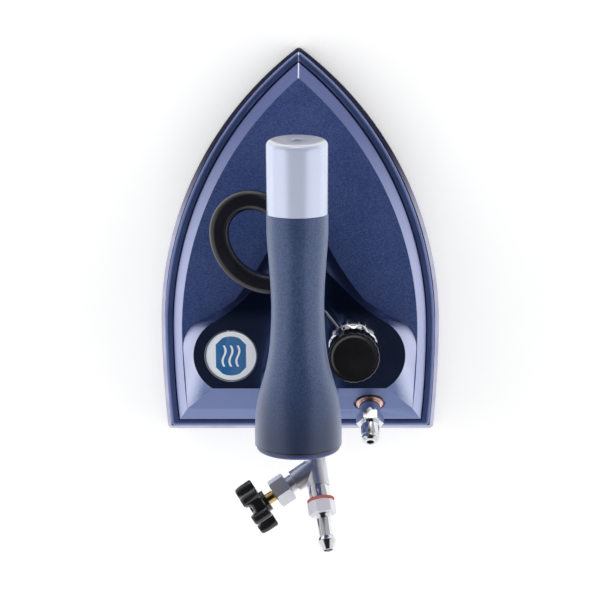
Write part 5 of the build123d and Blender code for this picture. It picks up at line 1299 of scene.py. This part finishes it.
@dataclass
class SteamInlet:
    """Steam inlet: tube with its branch, sleeve, fibre washer, union nut and hose barb.

    Places are distances along the inlet's axis from the rear slope.
    """

    bore_middle: float = 74.1
    sleeve_start: float = 54.6
    washer_start: float = 61.4
    nut_start: float = 62.9
    nut_end: float = 70.8
    head_start: float = 83.9
    taper_start: float = 86.7
    tip: float = 91.8
    tube_radius: float = 6.4
    seam_radius: float = 5.8
    washer_radius: float = 7.8
    nut_flats: float = 14.0
    nut_turn: float = -12.0
    barb_tube: float = 4.1
    barb_neck: float = 4.6
    barb_head: float = 5.5
    barb_end: float = 3.1
    barb_bore: float = 2.5
    bead_radius: float = 5.2
    bore_shown: float = 12.0

    def build(self, shop: Workshop) -> None:
        """Eases the inlet body and turns the other pieces."""
        seat = shop.mount_seat("steam_supply", (0, 0, 1), self.bore_middle)
        body = shop.eased_copy("inlet_body_polished", "inlet_body", 0.5, 30, 3)
        shop.finish_piece(body, Body.ROOT, "chrome_fitting", "inlet_body", finish="zinc_plate")
        sleeve = shop.turned(
            "inlet_sleeve_polished",
            seat,
            (
                (self.sleeve_start - 3, 0), (self.sleeve_start - 3, self.seam_radius - 0.9), (self.sleeve_start - 0.6, self.seam_radius - 0.9),
                (self.sleeve_start - 0.6, self.seam_radius), (self.sleeve_start, self.seam_radius), (self.sleeve_start, self.tube_radius),
                (self.washer_start, self.tube_radius), (self.washer_start, 0),
            ),
            (0, 0, 0, 0, 0, 0.4, 0.4, 0),
        )
        shop.finish_piece(sleeve, Body.ROOT, "chrome_fitting", "inlet_sleeve")
        washer = shop.turned(
            "union_washer_fibre",
            seat,
            ((self.washer_start, 5.3), (self.washer_start, self.washer_radius), (self.nut_start, self.washer_radius), (self.nut_start, 5.3), (self.washer_start, 5.3)),
            (0, 0.4, 0.4, 0.2, 0),
        )
        shop.finish_piece(washer, Body.ROOT, "red_fibre", "union_washer")
        nut = shop.hexagon("union_nut_polished", seat, self.nut_start, self.nut_end, self.nut_flats, turn=self.nut_turn)
        shop.finish_piece(nut, Body.ROOT, "chrome_fitting", "union_nut", finish="satin_nut")
        barb = shop.turned(
            "hose_barb_polished",
            seat,
            (
                (self.nut_end - 2, 0), (self.nut_end - 2, self.bead_radius), (self.nut_end + 0.5, self.bead_radius),
                (self.nut_end + 1.9, self.barb_tube), (self.head_start, self.barb_tube), (self.head_start + 0.1, self.barb_neck),
                (self.taper_start - 0.4, self.barb_head), (self.taper_start, self.barb_head), (self.tip, self.barb_end),
                (self.tip, self.barb_bore), (self.tip - self.bore_shown, self.barb_bore), (self.tip - self.bore_shown, 0),
            ),
            (0, 0, 0.8, 1.1, 0.3, 0.2, 0.3, 0.3, 0.25, 0.25, 0, 0),
        )
        shop.finish_piece(barb, Body.ROOT, "chrome_fitting", "hose_barb")


@dataclass
class NeedleValve:
    """Needle valve on the branch: neck, hexagon, brass stem and lobed hand knob.

    Places are distances along the branch's axis from the inlet's axis.
    """

    neck_start: float = 14.6
    neck_radius: float = 5.0
    spigot_radius: float = 2.5
    hex_start: float = 18.6
    hex_end: float = 28.3
    hex_flats: float = 15.5
    hex_turn: float = 15.0
    stem_radius: float = 3.3
    hub_start: float = 33.3
    hub_radius: float = 6.4
    web_start: float = 35.5
    web_top: float = 43.1
    lobe_top: float = 46.5
    web_radius: float = 9.6
    lobe_circle: float = 12.1
    lobe_radius: float = 3.3
    lobes: int = 6
    first_lobe: float = 30.0
    lobe_edge: float = 1.1
    lobe_round: float = 2.2

    def build(self, shop: Workshop) -> None:
        """Makes the body, the stem and the hand knob."""
        axis = shop.joint_seat("needle_turn", (0, 0, 1)).axis
        seat = shop.joint_seat("needle_turn", (0.0, axis[2], -axis[1]))
        neck = shop.turned(
            "needle_neck",
            seat,
            (
                (self.neck_start - 4, 0), (self.neck_start - 4, self.spigot_radius), (self.neck_start, self.spigot_radius),
                (self.neck_start, self.neck_radius), (self.hex_start + 0.1, self.neck_radius), (self.hex_start + 0.1, 0),
            ),
            (0, 0, 0, 0.5, 0, 0),
        )
        shop.finish_piece(neck, Body.ROOT, "chrome_fitting", "needle_body", finish="zinc_plate")
        body = shop.hexagon("needle_hexagon", seat, self.hex_start, self.hex_end, self.hex_flats, turn=self.hex_turn)
        shop.finish_piece(body, Body.ROOT, "chrome_fitting", "needle_body", finish="zinc_plate")
        stem = shop.turned(
            "needle_stem_brass",
            seat,
            (
                (self.hex_start, 0), (self.hex_start, 1.0), (self.hex_start + 2.4, self.stem_radius - 0.4), (self.hex_end + 0.5, self.stem_radius - 0.4),
                (self.hex_end + 0.7, self.stem_radius), (self.hub_start + 0.5, self.stem_radius), (self.hub_start + 0.5, 0),
            ),
            (0, 0, 0.2, 0.1, 0.2, 0, 0),
        )
        shop.finish_piece(stem, Body.SPINDLE, "brass_stem", "needle_stem")
        self.hand_knob(shop, seat)
        shop.dress_node("needle_screw", "steel_screws")

    def hand_knob(self, shop: Workshop, seat: Seat) -> None:
        """Hand knob: a web between long lobes.

        The outline is the larger of the web's radius and each lobe circle's far side,
        c cos d + sqrt(a a - c c sin d sin d), softened with a power mean. The top stands at the
        web's height and rises to the lobes' height inside each lobe's circle by a smooth step.
        """
        turns = np.linspace(0, 2 * pi, 360, endpoint=False)
        pitch = 2 * pi / self.lobes
        turned_from = (turns - radians(self.first_lobe) + pitch / 2) % pitch - pitch / 2
        inside = np.maximum(self.lobe_radius**2 - (self.lobe_circle * np.sin(turned_from)) ** 2, 0)
        lobe = np.where(inside > 0, self.lobe_circle * np.cos(turned_from) + np.sqrt(inside), 0)
        outline = (self.web_radius**14 + lobe**14) ** (1 / 14)
        share = np.linspace(0, 1, 40)[:, None]
        reach = share * outline[None, :]
        across = reach * np.cos(turned_from)[None, :] - self.lobe_circle
        aside = reach * np.sin(turned_from)[None, :]
        away = np.hypot(across, aside)
        step = np.clip((self.lobe_radius + 0.5 - away) / self.lobe_edge, 0, 1)
        rise = step * step * (3 - 2 * step) * (self.lobe_top - self.web_top)
        edge = np.clip((1 - share) * outline[None, :] / self.lobe_round, 0, 1)
        crest = self.web_top + rise - self.lobe_round * (1 - np.sqrt(1 - (1 - edge) ** 2))
        wall = np.stack([np.full_like(turns, self.web_start + 0.7), np.full_like(turns, self.web_start), np.full_like(turns, self.web_start), np.full_like(turns, self.hub_start), np.full_like(turns, self.hub_start)])
        wall_reach = np.stack([outline, outline - 0.7, np.full_like(turns, self.hub_radius), np.full_like(turns, self.hub_radius), np.zeros_like(turns)])
        along = np.vstack([crest, wall])
        outward = np.vstack([reach, wall_reach])
        knob = shop.surface("needle_knob_moulded", seat.place(along, outward, turns[None, :]), sharp=40)
        shop.finish_piece(knob, Body.HAND_KNOB, "black_knob", "needle_knob")


@dataclass
class Studio:
    """White floor, pale ring of light, dark ceiling and the camera.

    floor_reach: half width of the floor in metres.
    floor_white: the floor's colour, linear.
    eye: camera's place in metres.
    target: point that it looks at.
    lens: focal length in millimetres on a 36 mm sensor.
    lean: lean of the camera's up direction in degrees.
    roll: roll of the camera in degrees, which moves the tip to the left.
    side_power: power of each side lamp in watts.
    top_power: power of the soft lamp above in watts.
    ceiling: light from overhead.
    ring: light all round, up to mid height.
    ring_low: height of the sky's sphere at which the ring starts to fade.
    ring_high: height at which it is gone.
    ring_ahead: share of the ring that is left beyond the tip.
    ring_drop: how much lower the ring fades there.
    tip_glow: narrow low light from beyond the tip.
    floor_lift: what the camera and reflections see of the floor beyond its lit colour.
    """

    floor_reach: float = 3.0
    floor_white: float = 0.86
    eye: tuple[float, float, float] = (0.0131, 0.1729, 0.9831)
    target: tuple[float, float, float] = (0.0, -0.035, 0.005)
    lens: float = 100.38
    lean: float = 12.0
    roll: float = 0.1
    side_power: float = 3.2
    top_power: float = 7.2
    ceiling: float = 0.02
    ring: float = 0.85
    ring_low: float = 0.7
    ring_high: float = 0.92
    ring_ahead: float = 0.5
    ring_drop: float = 0.22
    tip_glow: float = 1.6
    floor_lift: float = 0.24

    def build(self) -> None:
        """Sets floor, world, lamps and camera."""
        self.floor()
        self.world()
        self.lamp("lamp_left", (-0.75, 0.05, 0.42), (1.1, 0.45), self.side_power, False)
        self.lamp("lamp_right", (0.75, 0.05, 0.42), (1.1, 0.45), self.side_power * 0.85, False)
        self.lamp("lamp_above", (0.0, -0.1, 1.3), (1.6, 1.6), self.top_power, False)
        self.camera()
        bpy.context.scene.view_settings.view_transform = "Standard"
        log.info("studio: floor, world, lamps and camera")

    def floor(self) -> None:
        """Plain white floor that keeps the iron's shadow and reads as white away from it."""
        reach = self.floor_reach
        mesh = bpy.data.meshes.new("floor")
        corners = [(-reach, -reach, -0.0001), (reach, -reach, -0.0001), (reach, reach, -0.0001), (-reach, reach, -0.0001)]
        mesh.from_pydata(corners, [], [(0, 1, 2, 3)])
        floor = bpy.data.objects.new("floor", mesh)
        bpy.context.scene.collection.objects.link(floor)
        made = bpy.data.materials.new("floor_white")
        made.use_nodes = True
        made.node_tree.nodes.clear()
        graph = Graph(made.node_tree)
        shader = graph.node("ShaderNodeBsdfDiffuse", {"Color": (self.floor_white,) * 3 + (1.0,)})
        path = graph.node("ShaderNodeLightPath")
        seen = graph.math("MAXIMUM", path.outputs["Is Camera Ray"], path.outputs["Is Glossy Ray"])
        seen = graph.math("MAXIMUM", seen, path.outputs["Is Transmission Ray"])
        lift = graph.node("ShaderNodeEmission", {"Strength": graph.math("MULTIPLY", seen, self.floor_lift)})
        both = graph.node("ShaderNodeAddShader", {0: shader.outputs[0], 1: lift.outputs[0]})
        leave = graph.node("ShaderNodeOutputMaterial")
        graph.tree.links.new(both.outputs[0], leave.inputs["Surface"])
        mesh.materials.append(made)

    def world(self) -> None:
        """World: dark overhead, a pale ring all round, a glow beyond the tip, white to the camera.

        light = ceiling + ring (1 - step(z + drop(y))) ahead(y) + tip_glow (1 - low step(z)) step(y).
        """
        world = bpy.data.worlds.new("studio")
        bpy.context.scene.world = world
        world.use_nodes = True
        world.node_tree.nodes.clear()
        graph = Graph(world.node_tree)
        split = graph.node("ShaderNodeSeparateXYZ", {"Vector": graph.node("ShaderNodeTexCoord").outputs["Generated"]})
        lower = graph.ramp(split.outputs["Y"], 0.0, 0.5, 0.0, self.ring_drop)
        ring = graph.ramp(graph.math("ADD", split.outputs["Z"], lower), self.ring_low, self.ring_high, self.ring, 0.0)
        ahead = graph.ramp(split.outputs["Y"], -0.1, 0.6, 1.0, self.ring_ahead)
        low = graph.ramp(split.outputs["Z"], 0.12, 0.42, 1.0, 0.0)
        tip = graph.ramp(split.outputs["Y"], 0.95, 0.985, 0.0, self.tip_glow)
        glow = graph.math("ADD", graph.math("MULTIPLY", ring, ahead), graph.math("MULTIPLY", low, tip))
        level = graph.math("ADD", glow, self.ceiling)
        seen = graph.node("ShaderNodeBackground", {"Color": (1.0, 1.0, 1.0, 1.0), "Strength": 1.0})
        around = graph.node("ShaderNodeBackground", {"Color": (1.0, 1.0, 1.0, 1.0), "Strength": level})
        path = graph.node("ShaderNodeLightPath")
        blend = graph.node("ShaderNodeMixShader", {0: path.outputs["Is Camera Ray"], 1: around.outputs[0], 2: seen.outputs[0]})
        leave = graph.node("ShaderNodeOutputWorld")
        graph.tree.links.new(blend.outputs[0], leave.inputs["Surface"])

    @staticmethod
    def lamp(name: str, place: tuple[float, float, float], size: tuple[float, float], power: float, glossy: bool) -> None:
        """Soft rectangular lamp aimed at the iron.

        Args:
            name: the lamp's name.
            place: its middle in metres.
            size: width and height in metres.
            power: power in watts.
            glossy: whether polished surfaces show it.
        """
        light = bpy.data.lights.new(name, "AREA")
        light.shape = "RECTANGLE"
        light.size, light.size_y = size
        light.energy = power
        lamp = bpy.data.objects.new(name, light)
        lamp.location = place
        aim = Vector((0.0, -0.02, 0.03)) - Vector(place)
        lamp.rotation_mode = "QUATERNION"
        lamp.rotation_quaternion = aim.to_track_quat("-Z", "Y")
        lamp.visible_glossy = glossy
        bpy.context.scene.collection.objects.link(lamp)

    def camera(self) -> None:
        """Camera above the iron, leaning towards the tip, with the tip at the top of the picture."""
        data = bpy.data.cameras.new("camera")
        data.lens = self.lens
        data.sensor_width = 36.0
        data.clip_start, data.clip_end = 0.01, 20.0
        camera = bpy.data.objects.new("camera", data)
        back = (Vector(self.eye) - Vector(self.target)).normalized()
        up = Vector((0.0, cos(radians(self.lean)), -sin(radians(self.lean))))
        right = up.cross(back).normalized()
        up = back.cross(right)
        turned, risen = cos(radians(self.roll)), sin(radians(self.roll))
        right, up = right * turned - up * risen, up * turned + right * risen
        turn = Matrix((right, up, back)).transposed()
        camera.matrix_world = Matrix.Translation(Vector(self.eye)) @ turn.to_4x4()
        bpy.context.scene.collection.objects.link(camera)
        bpy.context.scene.camera = camera


def main() -> None:
    """Loads the frame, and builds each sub-assembly and the studio."""
    logging.basicConfig(level=logging.INFO, format="%(message)s")
    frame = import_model()
    paint = Paint(Effects())
    shop = Workshop(frame, paint)
    for assembly in (Base(), Saddle(), Handle(), ThumbLever(), SteamValve(), CondensatePort(), SteamInlet(), NeedleValve()):
        assembly.build(shop)
        log.info("%s done, %d pieces so far", type(assembly).__name__, shop.count)
    Studio().build()


if __name__ == "__main__":
    main()
